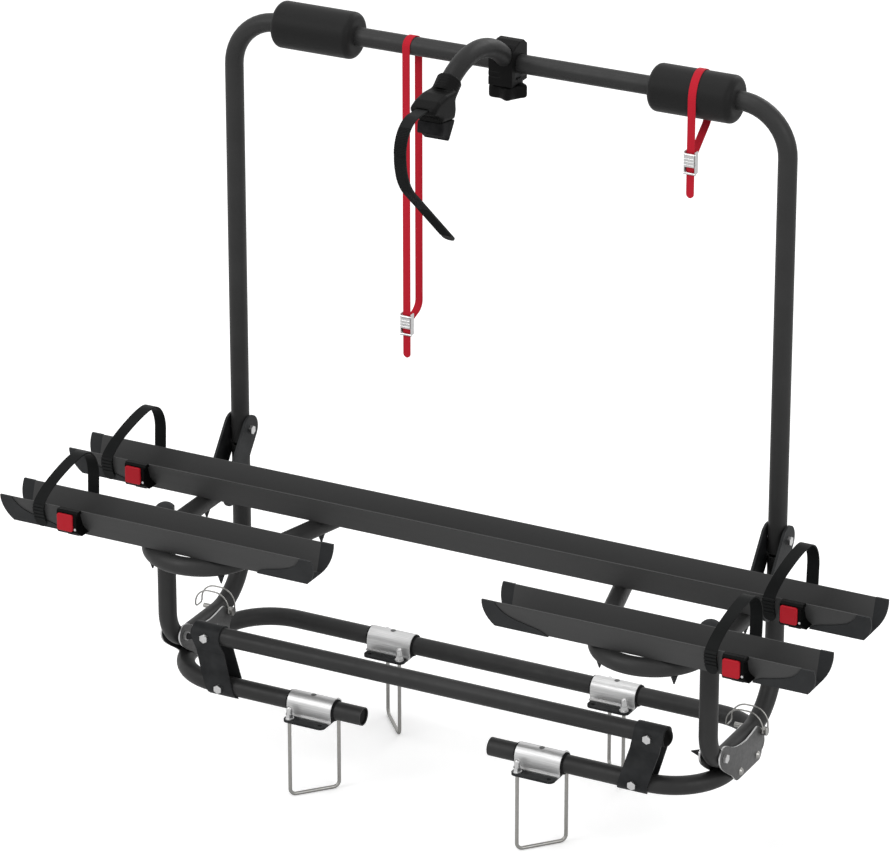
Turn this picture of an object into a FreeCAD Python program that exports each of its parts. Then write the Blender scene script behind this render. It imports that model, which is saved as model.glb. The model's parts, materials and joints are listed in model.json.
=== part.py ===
"""Caravan drawbar bike rack, modelled as an assembly of separate pieces.

Millimetres. +X runs along the rails, +Y points at the caravan, +Z is up.
The origin is the middle of the four clamp plates, on the face that rests on the drawbar.
"""
import FreeCAD
import Part
import math
import os

# Frame tubes
tube_diameter = 30.0
tube_wall = 2.0
end_cap_height = 7.0

# Base frame: an open racetrack of tube that lies on the drawbar
hoop_spacing = 958.0
base_depth = 270.0
base_corner_radius = 95.0
base_opening = 226.0
plug_thickness = 6.0
plug_recess = 2.0

# Drawbar clamps
clamp_offset = 203.0
plate_thickness = 4.0
plate_length = 74.0
plate_depth = 80.0
plate_corner_radius = 9.0
hole_spacing_x = 55.0
hole_spacing_y = 63.0
plate_hole_diameter = 7.2
liner_thickness = 1.5
liner_collar_length = 10.0
liner_collar_height = 2.5
shell_sheet = 2.0
shell_length = 79.0
shell_foot_width = 4.0
shell_screw_diameter = 9.0
shell_screw_shank = 5.0
wire_diameter = 6.0
u_bolt_drop = 131.0
u_bolt_corner_radius = 10.0
u_bolt_stub = 16.0
nut_flange_diameter = 15.0
nut_flange_height = 2.0
nut_across_flats = 11.0
nut_height = 9.0
nut_dome_diameter = 9.6
nut_total_height = 22.0

# Bridge tube above the open side of the base, and its two folded brackets
bridge_rise = 84.5
bridge_end_inset = 61.0
bracket_sheet = 3.0
bracket_width = 50.0
bracket_inset = 26.0
bracket_lean = 24.5
bracket_tuck = 4.0
bracket_tuck_drop = 24.0
bracket_knee_rise = 22.0
bracket_hook_gap = 6.0
bracket_back_rise = 8.0

# Side hoops, which stand between the pivot plates and carry the rails
hoop_plane_y = 125.0
hoop_rise = 35.0
hoop_front_leg_depth = 245.0
hoop_front_radius = 64.0
hoop_back_radius = 90.0
front_leg_top = 305.0

# Pivot plates, tilt pivot and lock pin
side_clearance = 0.3
pivot_plate_sheet = 3.0
tilt_pivot_y = -97.0
tilt_pivot_z = 71.0
pivot_eye_radius = 19.0
plate_floor_drop = 11.0
plate_toe_y = -50.0
plate_neck_length = 55.0
plate_neck_rise = 8.0
plate_saddle_length = 40.0
plate_saddle_rise = 5.0
plate_tip_length = 15.0
plate_tip_rise = 11.0
rivet_spacing = 64.0
rivet_centre_y = -2.0
rivet_diameter = 8.0
rivet_head_diameter = 13.0
rivet_head_height = 3.0
pivot_bolt_diameter = 8.0
running_clearance = 0.05
lock_pin_y = 46.0
lock_pin_diameter = 8.0
notch_clearance = 0.4
pin_head_diameter = 14.0
pin_head_length = 8.0
pin_tip_reach = 11.0
bail_wire_diameter = 2.6
bail_half_width = 10.5
bail_height = 33.0
bail_arch_radius = 26.0
bail_end_radius = 6.0
bail_overhang = 10.0

# Rail supports, bent tube arms under the rails
rail_floor_height = 278.5
support_bend_radius = 85.0
support_front_y = -228.0
support_inner_angle = 14.4
support_rear_end_y = 44.0

# Rails: a rear one across the whole rack and two short front ones
rail_centre_x = -7.0
rail_half_length = 707.5
front_rail_gap = 297.0
rear_rail_y = 10.5
front_rail_y = -200.5
rail_top_width = 73.0
rail_floor_width = 43.0
rail_height = 46.0
rail_wall = 2.0
floor_rib_width = 3.0
floor_rib_height = 2.0
floor_rib_spacing = 24.0

# Rail end caps
cap_sheet = 1.5
cap_flare = 15.0
cap_wing_length = 21.0
cap_sweep_length = 85.0
cap_sweep_curve = ((0.0, 1.0), (0.07, 0.79), (0.17, 0.61), (0.38, 0.43),
                   (0.66, 0.29), (0.9, 0.15), (1.0, 0.0))
cap_bow = 6.0

# Rail bolts and the pointed nut caps under the supports
rail_bolt_diameter = 6.0
rail_bolt_head_diameter = 13.0
rail_bolt_head_height = 3.0
nut_cap_diameter = 12.0
nut_cap_height = 15.0

# Wheel straps with their ratchet buckles and release buttons
strap_inset_left = 69.5
strap_inset_right = 169.5
strap_lean_left = 58.0
strap_lean_right = 41.0
strap_apex_left = 128.0
strap_apex_right = 124.0
wheel_strap_width = 20.0
wheel_strap_thickness = 2.4
wheel_strap_lean_start = 0.1
wheel_strap_lean_span = 0.5
wheel_strap_shoulder = 78.0
wheel_strap_bulge = 1.5
buckle_side_wall = 1.2
buckle_width = 38.0
buckle_hook = 6.0
buckle_waist = 3.0
buckle_flange = 6.0
buckle_depth = 12.0
buckle_height = 40.0
buckle_foot = 7.5
button_foot = 5.5
button_width = 28.5
button_height = 29.0
button_depth = 7.0
button_proud = 3.0
button_corner_radius = 4.0
button_edge_radius = 1.5
button_side_clearance = 0.4

# Brace plates that carry the folding hoop
brace_sheet = 4.0
brace_width = 48.0
fold_pivot_z = 349.5
fold_stub = 22.0
fold_gap = 1.0
brace_foot_y = 60.0
brace_bolt_diameter = 8.0

# Upper hoop and foam sleeves
upper_hoop_height = 1056.0
upper_hoop_radius = 80.0
foam_diameter = 75.0
foam_length = 140.0
foam_centre_x = 326.0
foam_edge_radius = 11.0

# Red webbing straps with cam buckles
webbing_width = 13.0
webbing_thickness = 1.6
long_strap_x = -162.6
long_strap_skew = 5.3
long_strap_drop = 461.0
long_strap_tail = 57.0
short_strap_x = 335.8
short_strap_skew = -6.8
short_strap_drop = 98.0
short_strap_tail = 57.0
cam_frame_width = 20.0
cam_frame_height = 37.0
cam_frame_depth = 9.0
cam_sheet = 1.6
cam_bar_diameter = 4.0
cam_lever_height = 19.0
cam_lever_thickness = 3.0

# Bike arm: clamp, knob, curved tube, head and ratchet strap
arm_centre_x = 12.0
clamp_centre_x = 7.5
clamp_width = 41.0
clamp_front_wall = 15.0
clamp_back_wall = 9.0
clamp_top_rise = 36.0
clamp_brow_rise = 24.0
clamp_floor_drop = 31.0
clamp_floor_thickness = 7.0
clamp_chamfer = 9.0
clamp_groove = 3.0
pad_thickness = 7.0
arm_screw_diameter = 8.0
arm_start = 22.0
arm_start_rise = 14.0
arm_reach = 222.0
arm_end_rise = 21.0
arm_crown = 54.5
knob_diameter = 62.0
knob_thickness = 22.0
knob_lobes = 6
knob_lobe_share = 0.16
knob_waist_share = 0.31
knob_gap = 2.0
collar_diameter = 38.0
collar_length = 28.0
collar_ribs = 5
head_width = 44.0
head_nose = 74.0
head_top = ((-0.11, 0.04), (0.08, 0.08), (0.43, 0.09), (0.76, 0.04),
            (0.95, -0.04), (1.0, -0.11))
head_front = ((0.97, -0.19), (0.81, -0.26), (0.68, -0.35), (0.65, -0.45))
head_rear = ((0.07, -0.53), (0.01, -0.34), (0.03, -0.14))
cradle_outline = ((0.07, -0.53), (0.22, -0.74), (0.35, -0.92), (0.68, -0.74), (0.65, -0.45))
head_edge_radius = 6.0
jaw_radius = 30.0
jaw_forward = 53.0
jaw_drop = 83.0
slot_drop = 8.0
slot_depth = 26.0
ratchet_strap_width = 20.0
ratchet_strap_thickness = 2.6
ratchet_strap_reach = 69.0
ratchet_strap_fall = 91.0
ratchet_strap_return = 163.0
ratchet_strap_drop = 237.0
ratchet_strap_first_bend = 45.0
ratchet_strap_second_bend = 90.0

# Values that follow from the driving dimensions
tube_radius = tube_diameter / 2
hoop_x = hoop_spacing / 2
base_y = base_depth / 2
base_axis_z = plate_thickness + liner_thickness + tube_radius
bridge_z = base_axis_z + bridge_rise
hoop_floor_z = base_axis_z + hoop_rise
front_leg_y = hoop_plane_y - hoop_front_leg_depth
support_z = rail_floor_height - tube_radius
rail_top_z = rail_floor_height + rail_height
plate_inner_face = tube_radius + side_clearance
bridge_length = hoop_spacing - 2 * bridge_end_inset
bracket_bolt_x = bridge_length / 2 - bracket_inset
rail_left_x = rail_centre_x - rail_half_length
rail_right_x = rail_centre_x + rail_half_length
wheel_strap_turns = 14
webbing_turns = 16

V = FreeCAD.Vector
AXIS_X = V(1, 0, 0)
AXIS_Y = V(0, 1, 0)
AXIS_Z = V(0, 0, 1)
SIDES = {"left": -1, "right": 1}


def save(name, *solids):
    """Write the solids of one node to its STEP file."""
    shape = solids[0] if len(solids) == 1 else Part.makeCompound(list(solids))
    shape.exportStep("parts/" + name + ".step")
    print(name, len(shape.Solids), "solids", round(shape.Volume / 1000, 1), "cm3")


def rod(centre, axis, radius, length):
    """Cylinder centred on a point."""
    return Part.makeCylinder(radius, length, centre - axis * (length / 2), axis)


def block(low, high):
    """Box between two corners."""
    size = high - low
    return Part.makeBox(size.x, size.y, size.z, low)


def edge_path(points, bends):
    """Wire of straight runs through points, joined by tangent arcs with the given radii."""
    edges = []
    start = points[0]
    for before, corner, after, bend in zip(points, points[1:], points[2:], bends):
        inward = (before - corner).normalize()
        outward = (after - corner).normalize()
        half = inward.getAngle(outward) / 2
        first = corner + inward * (bend / math.tan(half))
        last = corner + outward * (bend / math.tan(half))
        middle = corner + (inward + outward).normalize() * (bend / math.sin(half) - bend)
        if start.distanceToPoint(first) > 1e-4:
            edges.append(Part.LineSegment(start, first).toShape())
        edges.append(Part.Arc(first, middle, last).toShape())
        start = last
    if start.distanceToPoint(points[-1]) > 1e-4:
        edges.append(Part.LineSegment(start, points[-1]).toShape())
    return Part.Wire(edges)


def start_direction(path):
    """Unit tangent at the start of a path."""
    first = path.OrderedEdges[0]
    return first.tangentAt(first.FirstParameter).normalize()


def bar_along(path, radius):
    """Solid round bar swept along a path."""
    start = path.OrderedVertexes[0].Point
    circle = Part.Wire(Part.makeCircle(radius, start, start_direction(path)))
    return path.makePipe(Part.Face(circle))


def tube_along(path, radius=tube_radius, wall=tube_wall):
    """Hollow round tube swept along a path."""
    start = path.OrderedVertexes[0].Point
    direction = start_direction(path)
    outer = Part.Face(Part.Wire(Part.makeCircle(radius, start, direction)))
    inner = Part.Face(Part.Wire(Part.makeCircle(radius - wall, start, direction)))
    return path.makePipe(outer.cut(inner).Faces[0])


def strap_along(path, width, thickness):
    """Flat strap swept along a path in a plane of constant X."""
    start = path.OrderedVertexes[0].Point
    across = AXIS_X * (width / 2)
    through = AXIS_X.cross(start_direction(path)) * (thickness / 2)
    corners = [start + across + through, start - across + through]
    corners += [start - across - through, start + across - through]
    return path.makePipe(Part.Face(Part.makePolygon(corners + corners[:1])))


def ribbon(points, width, thickness):
    """Flat band of constant width along X through a line of points, mitred where it turns."""
    across = AXIS_X * (width / 2)
    sections = []
    for index, point in enumerate(points):
        before = points[max(index - 1, 0)]
        after = points[min(index + 1, len(points) - 1)]
        into = V(0, point.y - before.y, point.z - before.z)
        out = V(0, after.y - point.y, after.z - point.z)
        if index == 0:
            into = V(out)
        if index == len(points) - 1:
            out = V(into)
        along = into.normalize() + out.normalize()
        through = V(0, -along.z, along.y) * (thickness / along.Length ** 2)
        corners = [point - across + through, point + across + through]
        corners += [point + across - through, point - across - through]
        sections.append(Part.makePolygon(corners + corners[:1]))
    return Part.makeLoft(sections, True, True)


def outline_face(points):
    """Face inside a closed polygon."""
    return Part.Face(Part.makePolygon(points + points[:1]))


def hexagon(centre, axis, side_direction, across_flats, height):
    """Hexagonal prism that starts at a centre and grows along an axis."""
    radius = across_flats / math.sqrt(3)
    other = axis.cross(side_direction)
    points = []
    for step in range(6):
        angle = math.radians(60 * step)
        spoke = side_direction * (radius * math.cos(angle)) + other * (radius * math.sin(angle))
        points.append(centre + spoke)
    return outline_face(points).extrude(axis * height)


def hoop_bolt(centre, inward, diameter, grip, head_across, head_height):
    """Bolt along X through a hoop tube: head outside, nut inside, both against the plates."""
    outer = centre - inward * (grip / 2)
    inner = centre + inward * (grip / 2)
    shank = rod(centre, AXIS_X, diameter / 2, grip)
    head = hexagon(outer, inward * -1, AXIS_Z, head_across, head_height)
    nut = hexagon(inner, inward, AXIS_Z, head_across, head_height)
    return shank.fuse([head, nut])


# Base frame

def base_path():
    """Racetrack axis of the base tube, open on the side away from the caravan."""
    end_x = base_opening / 2
    points = [V(end_x, -base_y, base_axis_z), V(hoop_x, -base_y, base_axis_z)]
    points.append(V(hoop_x, base_y, base_axis_z))
    points += [V(-point.x, point.y, point.z) for point in reversed(points)]
    return edge_path(points, [base_corner_radius] * 4)


def base_tube_plugs():
    """Plastic plugs set back inside the open ends."""
    centre_x = base_opening / 2 + plug_recess + plug_thickness / 2
    radius = tube_radius - tube_wall
    centres = [V(side * centre_x, -base_y, base_axis_z) for side in SIDES.values()]
    return [rod(centre, AXIS_X, radius, plug_thickness) for centre in centres]


def rivet_places(side):
    """Centres of the two rivets that hold a pair of pivot plates to the base tube."""
    half = rivet_spacing / 2
    return [V(side * hoop_x, rivet_centre_y + end * half, base_axis_z) for end in (-1, 1)]


def bracket_bolt_places(side):
    """Centres of a bracket's two bolts, in the bridge tube and in the base tube."""
    upper = V(side * bracket_bolt_x, -base_y, bridge_z)
    lower = V(side * (bracket_bolt_x - bracket_lean), -base_y, base_axis_z)
    return [upper, lower]


def bridge_tube():
    """Straight tube above the open side of the base."""
    ends = [V(side * bridge_length / 2, -base_y, bridge_z) for side in SIDES.values()]
    return tube_along(edge_path(ends, []))


def domed_cap(base, axis):
    """Domed plastic cap on the end of a frame tube."""
    radius = (tube_radius ** 2 + end_cap_height ** 2) / (2 * end_cap_height)
    dome = Part.makeSphere(radius, base + axis * (end_cap_height - radius))
    return dome.common(Part.makeCylinder(tube_radius, end_cap_height + 1.0, base, axis))


def bracket_front(low_x, length):
    """Front half of a bracket's sheet: tucked in under the bridge tube, then down to the base tube."""
    outer = tube_radius + bracket_sheet
    levels = [(0.0, bridge_z), (0.0, bridge_z - tube_radius / 2)]
    levels.append((bracket_tuck, bridge_z - bracket_tuck_drop))
    levels += [(0.0, base_axis_z + bracket_knee_rise), (0.0, base_axis_z)]
    corners = [V(low_x, -base_y - outer + inset, height) for inset, height in levels]
    corners += [V(low_x, -base_y - tube_radius + inset, height) for inset, height in reversed(levels)]
    return outline_face(corners).extrude(AXIS_X * length)


def bridge_bracket(side):
    """Sheet folded over the bridge tube: its front ends round the base tube, its back on top of it."""
    outer = tube_radius + bracket_sheet
    low_x = -bridge_length / 2 - bracket_width
    length = bridge_length + 2 * bracket_width
    high_x = low_x + length
    bridge_start = V(low_x, -base_y, bridge_z)
    base_start = V(low_x, -base_y, base_axis_z)
    fold = Part.makeCylinder(outer, length, bridge_start, AXIS_X)
    fold = fold.cut(Part.makeCylinder(tube_radius, length, bridge_start, AXIS_X))
    fold = fold.common(block(bridge_start - AXIS_Y * outer, V(high_x, -base_y + outer, bridge_z + outer)))
    hook = Part.makeCylinder(outer, length, base_start, AXIS_X)
    hook = hook.cut(Part.makeCylinder(tube_radius, length, base_start, AXIS_X))
    hook_low = V(low_x, -base_y - outer, base_axis_z - outer)
    hook = hook.common(block(hook_low, V(high_x, -base_y - bracket_hook_gap, base_axis_z)))
    back_low = V(low_x, -base_y + tube_radius, base_axis_z + bracket_back_rise)
    back = block(back_low, V(high_x, -base_y + outer, bridge_z))
    sheet = fold.fuse([bracket_front(low_x, length), hook, back]).removeSplitter()
    lean = bracket_lean / bridge_rise
    foot_z = base_axis_z - outer - 1.0
    top_z = bridge_z + outer + 1.0
    foot_x = bracket_bolt_x - (bridge_z - foot_z) * lean
    half = bracket_width / 2
    levels = [(foot_x - half, foot_z), (foot_x + half, foot_z), (bracket_bolt_x + half, bridge_z)]
    levels += [(bracket_bolt_x + half, top_z), (bracket_bolt_x - half, top_z)]
    levels.append((bracket_bolt_x - half, bridge_z))
    corners = [V(side * x, -base_y - 2 * outer, height) for x, height in levels]
    slab = outline_face(corners).extrude(AXIS_Y * (4 * outer))
    drill = brace_bolt_diameter / 2
    holes = [rod(place, AXIS_Y, drill, 3 * outer) for place in bracket_bolt_places(side)]
    return sheet.common(slab).cut(holes + [bar_along(base_path(), tube_radius)])


def bracket_bolt(place):
    """Bolt along Y through a bracket and its tube. The lower one has its nut on the tube itself."""
    front = tube_radius + bracket_sheet
    back = front if place.z > base_axis_z + 1.0 else tube_radius
    start = place - AXIS_Y * front
    shank = Part.makeCylinder(brace_bolt_diameter / 2, front + back, start, AXIS_Y)
    head = hexagon(start, AXIS_Y * -1, AXIS_Z, 13.0, 5.0)
    nut = hexagon(place + AXIS_Y * back, AXIS_Y, AXIS_Z, 13.0, 6.5)
    return shank.fuse([head, nut])


# Drawbar clamps

def clamp_places():
    """Name, centre and diagonal direction of each clamp's U-bolt."""
    places = []
    for row, row_y in (("front", -base_y), ("rear", base_y)):
        for name, side in SIDES.items():
            diagonal = 1 if row == "front" else -1
            places.append((row + "_" + name, V(side * clamp_offset, row_y, 0), diagonal))
    return places


def clamp_shell(centre):
    """Aluminium saddle over the tube, with a foot along each side on the plate."""
    inner = tube_radius + liner_thickness
    outer = inner + shell_sheet
    foot = outer + shell_foot_width
    low = plate_thickness
    rise = base_axis_z - low
    start = V(centre.x - shell_length / 2, centre.y, low)

    def at(across, height):
        return start + V(0, across, height)

    corners = [at(-inner, 0), at(-foot, 0), at(-foot, shell_sheet), at(-outer, shell_sheet)]
    corners.append(at(-outer, rise))
    edges = [Part.LineSegment(a, b).toShape() for a, b in zip(corners, corners[1:])]
    edges.append(Part.Arc(at(-outer, rise), at(0, rise + outer), at(outer, rise)).toShape())
    corners = [at(outer, rise), at(outer, shell_sheet), at(foot, shell_sheet), at(foot, 0)]
    corners += [at(inner, 0), at(inner, rise)]
    edges += [Part.LineSegment(a, b).toShape() for a, b in zip(corners, corners[1:])]
    edges.append(Part.Arc(at(inner, rise), at(0, rise + inner), at(-inner, rise)).toShape())
    edges.append(Part.LineSegment(at(-inner, rise), at(-inner, 0)).toShape())
    return Part.Face(Part.Wire(edges)).extrude(AXIS_X * shell_length)


def clamp_liner(centre):
    """Rubber sleeve between tube and shell, with a collar past one end of the shell."""
    start = V(centre.x - shell_length / 2, centre.y, base_axis_z)
    inner = tube_radius + liner_thickness
    sleeve = Part.makeCylinder(inner, shell_length + liner_collar_length, start, AXIS_X)
    collar_start = start + AXIS_X * shell_length
    collar = Part.makeCylinder(inner + liner_collar_height, liner_collar_length, collar_start, AXIS_X)
    bore = Part.makeCylinder(tube_radius, shell_length + liner_collar_length, start, AXIS_X)
    return sleeve.fuse(collar).cut(bore)


def clamp_hole_places(centre):
    """Corner holes of a clamp plate on the plate's underside."""
    step = V(hole_spacing_x / 2, hole_spacing_y / 2, 0)
    return [centre + V(sx * step.x, sy * step.y, 0) for sx in (-1, 1) for sy in (-1, 1)]


def clamp_plate(centre):
    """Flat plate with rounded corners that rests on the drawbar."""
    low = centre - V(plate_length / 2, plate_depth / 2, 0)
    plate = Part.makeBox(plate_length, plate_depth, plate_thickness, low)
    upright = [edge for edge in plate.Edges if abs(edge.tangentAt(edge.FirstParameter).z) > 0.9]
    plate = plate.makeFillet(plate_corner_radius, upright)
    drill = plate_hole_diameter / 2
    depth = 4 * plate_thickness
    return plate.cut([rod(place, AXIS_Z, drill, depth) for place in clamp_hole_places(centre)])


def u_bolt_legs(centre, diagonal):
    """Feet of the two legs of a clamp's U-bolt, in diagonally opposite holes."""
    step = V(hole_spacing_x / 2, diagonal * hole_spacing_y / 2, 0)
    return [centre - step, centre + step]


def u_bolt(centre, diagonal):
    """Wire loop that hangs from the plate round the drawbar."""
    near, far = u_bolt_legs(centre, diagonal)
    top = AXIS_Z * (plate_thickness + u_bolt_stub)
    drop = AXIS_Z * u_bolt_drop
    path = edge_path([near + top, near - drop, far - drop, far + top], [u_bolt_corner_radius] * 2)
    return bar_along(path, wire_diameter / 2)


def clamp_nut(leg):
    """Flanged nut with a tall domed top, on the plate, over the end of a U-bolt's leg."""
    start = leg + AXIS_Z * plate_thickness
    dome_radius = nut_dome_diameter / 2
    flange = Part.makeCylinder(nut_flange_diameter / 2, nut_flange_height, start, AXIS_Z)
    grip = hexagon(start, AXIS_Z, AXIS_X, nut_across_flats, nut_height)
    neck = Part.makeCylinder(dome_radius, nut_total_height - dome_radius, start, AXIS_Z)
    dome = Part.makeSphere(dome_radius, start + AXIS_Z * (nut_total_height - dome_radius))
    bore = Part.makeCylinder(wire_diameter / 2, u_bolt_stub, start, AXIS_Z)
    return flange.fuse([grip, neck, dome]).cut(bore)


def clamp_screw(centre, clearance=0.0):
    """Countersunk screw that holds shell and liner to the tube."""
    top = V(centre.x, centre.y, base_axis_z + tube_radius)
    foot = top - AXIS_Z * (2 * tube_wall)
    length = 2 * tube_wall + liner_thickness + shell_sheet / 2
    shank = Part.makeCylinder(shell_screw_shank / 2, length, foot, AXIS_Z)
    sink = top + AXIS_Z * liner_thickness
    head = Part.makeCone(shell_screw_shank / 2, shell_screw_diameter / 2, shell_sheet, sink, AXIS_Z)
    if clearance > 0:
        rim = sink + AXIS_Z * shell_sheet
        head = head.fuse(Part.makeCylinder(shell_screw_diameter / 2, clearance, rim, AXIS_Z))
    return shank.fuse(head)


# Pivot plates, pivots and lock pins

def pivot_plate(side, face):
    """Plate beside a hoop tube. Its upper rear edge has the notch of the lock pin."""
    eye_y = tilt_pivot_y
    eye_z = tilt_pivot_z
    floor = base_axis_z - plate_floor_drop
    rear = lock_pin_y
    pin_z = lock_pin_height()
    x = side * hoop_x + face * plate_inner_face

    def at(y, z):
        return V(x, y, z)

    lower = math.radians(215)
    upper = math.radians(80)
    front = math.radians(150)
    around = [at(eye_y + pivot_eye_radius * math.cos(angle), eye_z + pivot_eye_radius * math.sin(angle))
              for angle in (lower, upper, front)]
    lower_point, upper_point, front_point = around
    heel = plate_tip_rise
    corners = [lower_point, at(plate_toe_y, floor), at(rear - heel / 2, floor)]
    corners += [at(rear, floor + heel), at(rear + heel, pin_z - heel)]
    corners += [at(rear - plate_tip_length, pin_z + plate_tip_rise)]
    corners += [at(rear - plate_saddle_length, pin_z + plate_saddle_rise)]
    corners += [at(eye_y + plate_neck_length, pin_z + plate_neck_rise), upper_point]
    edges = [Part.LineSegment(a, b).toShape() for a, b in zip(corners, corners[1:])]
    edges.append(Part.Arc(upper_point, front_point, lower_point).toShape())
    plate = Part.Face(Part.Wire(edges)).extrude(AXIS_X * (face * pivot_plate_sheet))
    drill = 6 * pivot_plate_sheet
    half = lock_pin_diameter / 2 + notch_clearance
    reach = math.hypot(rear - eye_y, pin_z - eye_z)
    sweep = rod(at(eye_y, eye_z), AXIS_X, reach + half, drill)
    sweep = sweep.cut(rod(at(eye_y, eye_z), AXIS_X, reach - half, 2 * drill))
    low = at(rear - 4 * half, pin_z) - AXIS_X * drill
    above = block(low, at(rear + 4 * half, pin_z + 8 * half) + AXIS_X * drill)
    notch = rod(at(rear, pin_z), AXIS_X, half, drill).fuse(sweep.common(above))
    holes = [rod(V(x, place.y, place.z), AXIS_X, rivet_diameter / 2, drill) for place in rivet_places(side)]
    holes.append(rod(at(eye_y, eye_z), AXIS_X, pivot_bolt_diameter / 2, drill))
    return plate.cut(holes + [notch, bar_along(base_path(), tube_radius + side_clearance / 2)])


def plate_rivet(place):
    """Round rivet through both plates and the base tube."""
    grip = 2 * (plate_inner_face + pivot_plate_sheet)
    shank = rod(place, AXIS_X, rivet_diameter / 2, grip)
    heads = [Part.makeCone(rivet_head_diameter / 2, rivet_head_diameter / 3, rivet_head_height,
                           place + AXIS_X * (end * grip / 2), AXIS_X * end) for end in (-1, 1)]
    return shank.fuse(heads)


def pivot_bolt(side):
    """Bolt that the rack tilts about."""
    centre = V(side * hoop_x, tilt_pivot_y, tilt_pivot_z)
    grip = 2 * (plate_inner_face + pivot_plate_sheet)
    return hoop_bolt(centre, AXIS_X * -side, pivot_bolt_diameter, grip, 13.0, 5.0)


def nut_cap(base, direction):
    """Pointed cap over a bolt end."""
    return Part.makeCone(nut_cap_diameter / 2, 1.0, nut_cap_height, base, direction)


def pivot_bolt_cap(side):
    """Pointed cap on the inner end of a tilt pivot bolt."""
    reach = plate_inner_face + pivot_plate_sheet + 5.0
    return nut_cap(V(side * (hoop_x - reach), tilt_pivot_y, tilt_pivot_z), AXIS_X * -side)


def lock_pin_height():
    """Height of the hoop tube's axis where the lock pin crosses it."""
    back_centre_y = hoop_plane_y - hoop_back_radius
    offset = max(0.0, lock_pin_y - back_centre_y)
    return hoop_floor_z + hoop_back_radius - math.sqrt(hoop_back_radius ** 2 - offset ** 2)


def lock_pin(side):
    """Pin through the hoop tube, with its head on the right of the tube."""
    centre = V(side * hoop_x, lock_pin_y, lock_pin_height())
    outer = plate_inner_face + pivot_plate_sheet
    tip = centre - AXIS_X * (outer + pin_tip_reach)
    shank = Part.makeCylinder(lock_pin_diameter / 2, 2 * outer + pin_tip_reach, tip, AXIS_X)
    head_start = centre + AXIS_X * (outer + side_clearance)
    head = Part.makeCylinder(pin_head_diameter / 2, pin_head_length, head_start, AXIS_X)
    pin = shank.fuse([head, rod(centre + AXIS_X * outer, AXIS_X, lock_pin_diameter / 2, 4.0)])
    eye = rod(head_start + AXIS_X * (pin_head_length / 2), AXIS_Y,
              bail_wire_diameter / 2 + running_clearance, 2 * pin_head_diameter)
    return pin.cut(eye)


def bail_hinge(side):
    """Centre of the eye in a lock pin's head, which the bail swings about."""
    reach = plate_inner_face + pivot_plate_sheet + side_clearance + pin_head_length / 2
    return V(side * hoop_x + reach, lock_pin_y, lock_pin_height())


def pin_bail(side):
    """Doubled wire arched over the hoop tube, from the pin's head to round its tip."""
    hinge = bail_hinge(side)
    tip_x = side * hoop_x - plate_inner_face - pivot_plate_sheet - pin_tip_reach - bail_overhang
    far = tip_x - hinge.x
    half = bail_half_width
    points = [V(0, -1.0, 0), V(0, -half, 0), V(0, -half, bail_height)]
    points += [V(far, -half, bail_height), V(far, -half, 0)]
    points = points + [V(point.x, -point.y, point.z) for point in reversed(points)]
    bends = [bail_wire_diameter, bail_arch_radius, bail_arch_radius, bail_end_radius]
    bends = bends + bends[::-1]
    return bar_along(edge_path([hinge + point for point in points], bends), bail_wire_diameter / 2)


# Side hoops and rail supports

def side_hoop(side):
    """U of tube: front leg, bottom run and back leg, in a plane of constant X."""
    x = side * hoop_x
    back_top = fold_pivot_z - math.hypot(fold_stub, tube_radius) - fold_gap
    points = [V(x, front_leg_y, front_leg_top), V(x, front_leg_y, hoop_floor_z)]
    points += [V(x, hoop_plane_y, hoop_floor_z), V(x, hoop_plane_y, back_top)]
    hoop = tube_along(edge_path(points, [hoop_front_radius, hoop_back_radius]))
    drill = 3 * tube_diameter
    tilt_radius = pivot_bolt_diameter / 2 + running_clearance
    tilt_hole = rod(V(x, tilt_pivot_y, tilt_pivot_z), AXIS_X, tilt_radius, drill)
    pin_hole = rod(V(x, lock_pin_y, lock_pin_height()), AXIS_X, lock_pin_diameter / 2, drill)
    return hoop.cut([tilt_hole, pin_hole])


def support_bend_centre(side):
    """Centre of the bend at the front of a rail support."""
    return V(side * (hoop_x - support_bend_radius), support_front_y + support_bend_radius, support_z)


def inner_arm_point(side, y):
    """Point on the axis of a support's slanted inner arm."""
    angle = math.radians(support_inner_angle)
    centre = support_bend_centre(side)
    start_y = centre.y - support_bend_radius * math.sin(angle)
    start_x = abs(centre.x) - support_bend_radius * math.cos(angle)
    return V(side * (start_x - (y - start_y) * math.tan(angle)), y, support_z)


def bend_crossing_x(side, y):
    """The two X values where a support's front bend passes under a line of constant Y."""
    centre = support_bend_centre(side)
    reach = math.sqrt(support_bend_radius ** 2 - (centre.y - y) ** 2)
    return [centre.x + reach, centre.x - reach]


def support_bolt_places(side):
    """Rail bolts over a support: two for the front rail and two for the rear rail."""
    places = [V(x, front_rail_y, rail_floor_height) for x in bend_crossing_x(side, front_rail_y)]
    places.append(V(side * hoop_x, rear_rail_y, rail_floor_height))
    inner = inner_arm_point(side, rear_rail_y)
    places.append(V(inner.x, inner.y, rail_floor_height))
    return places


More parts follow.
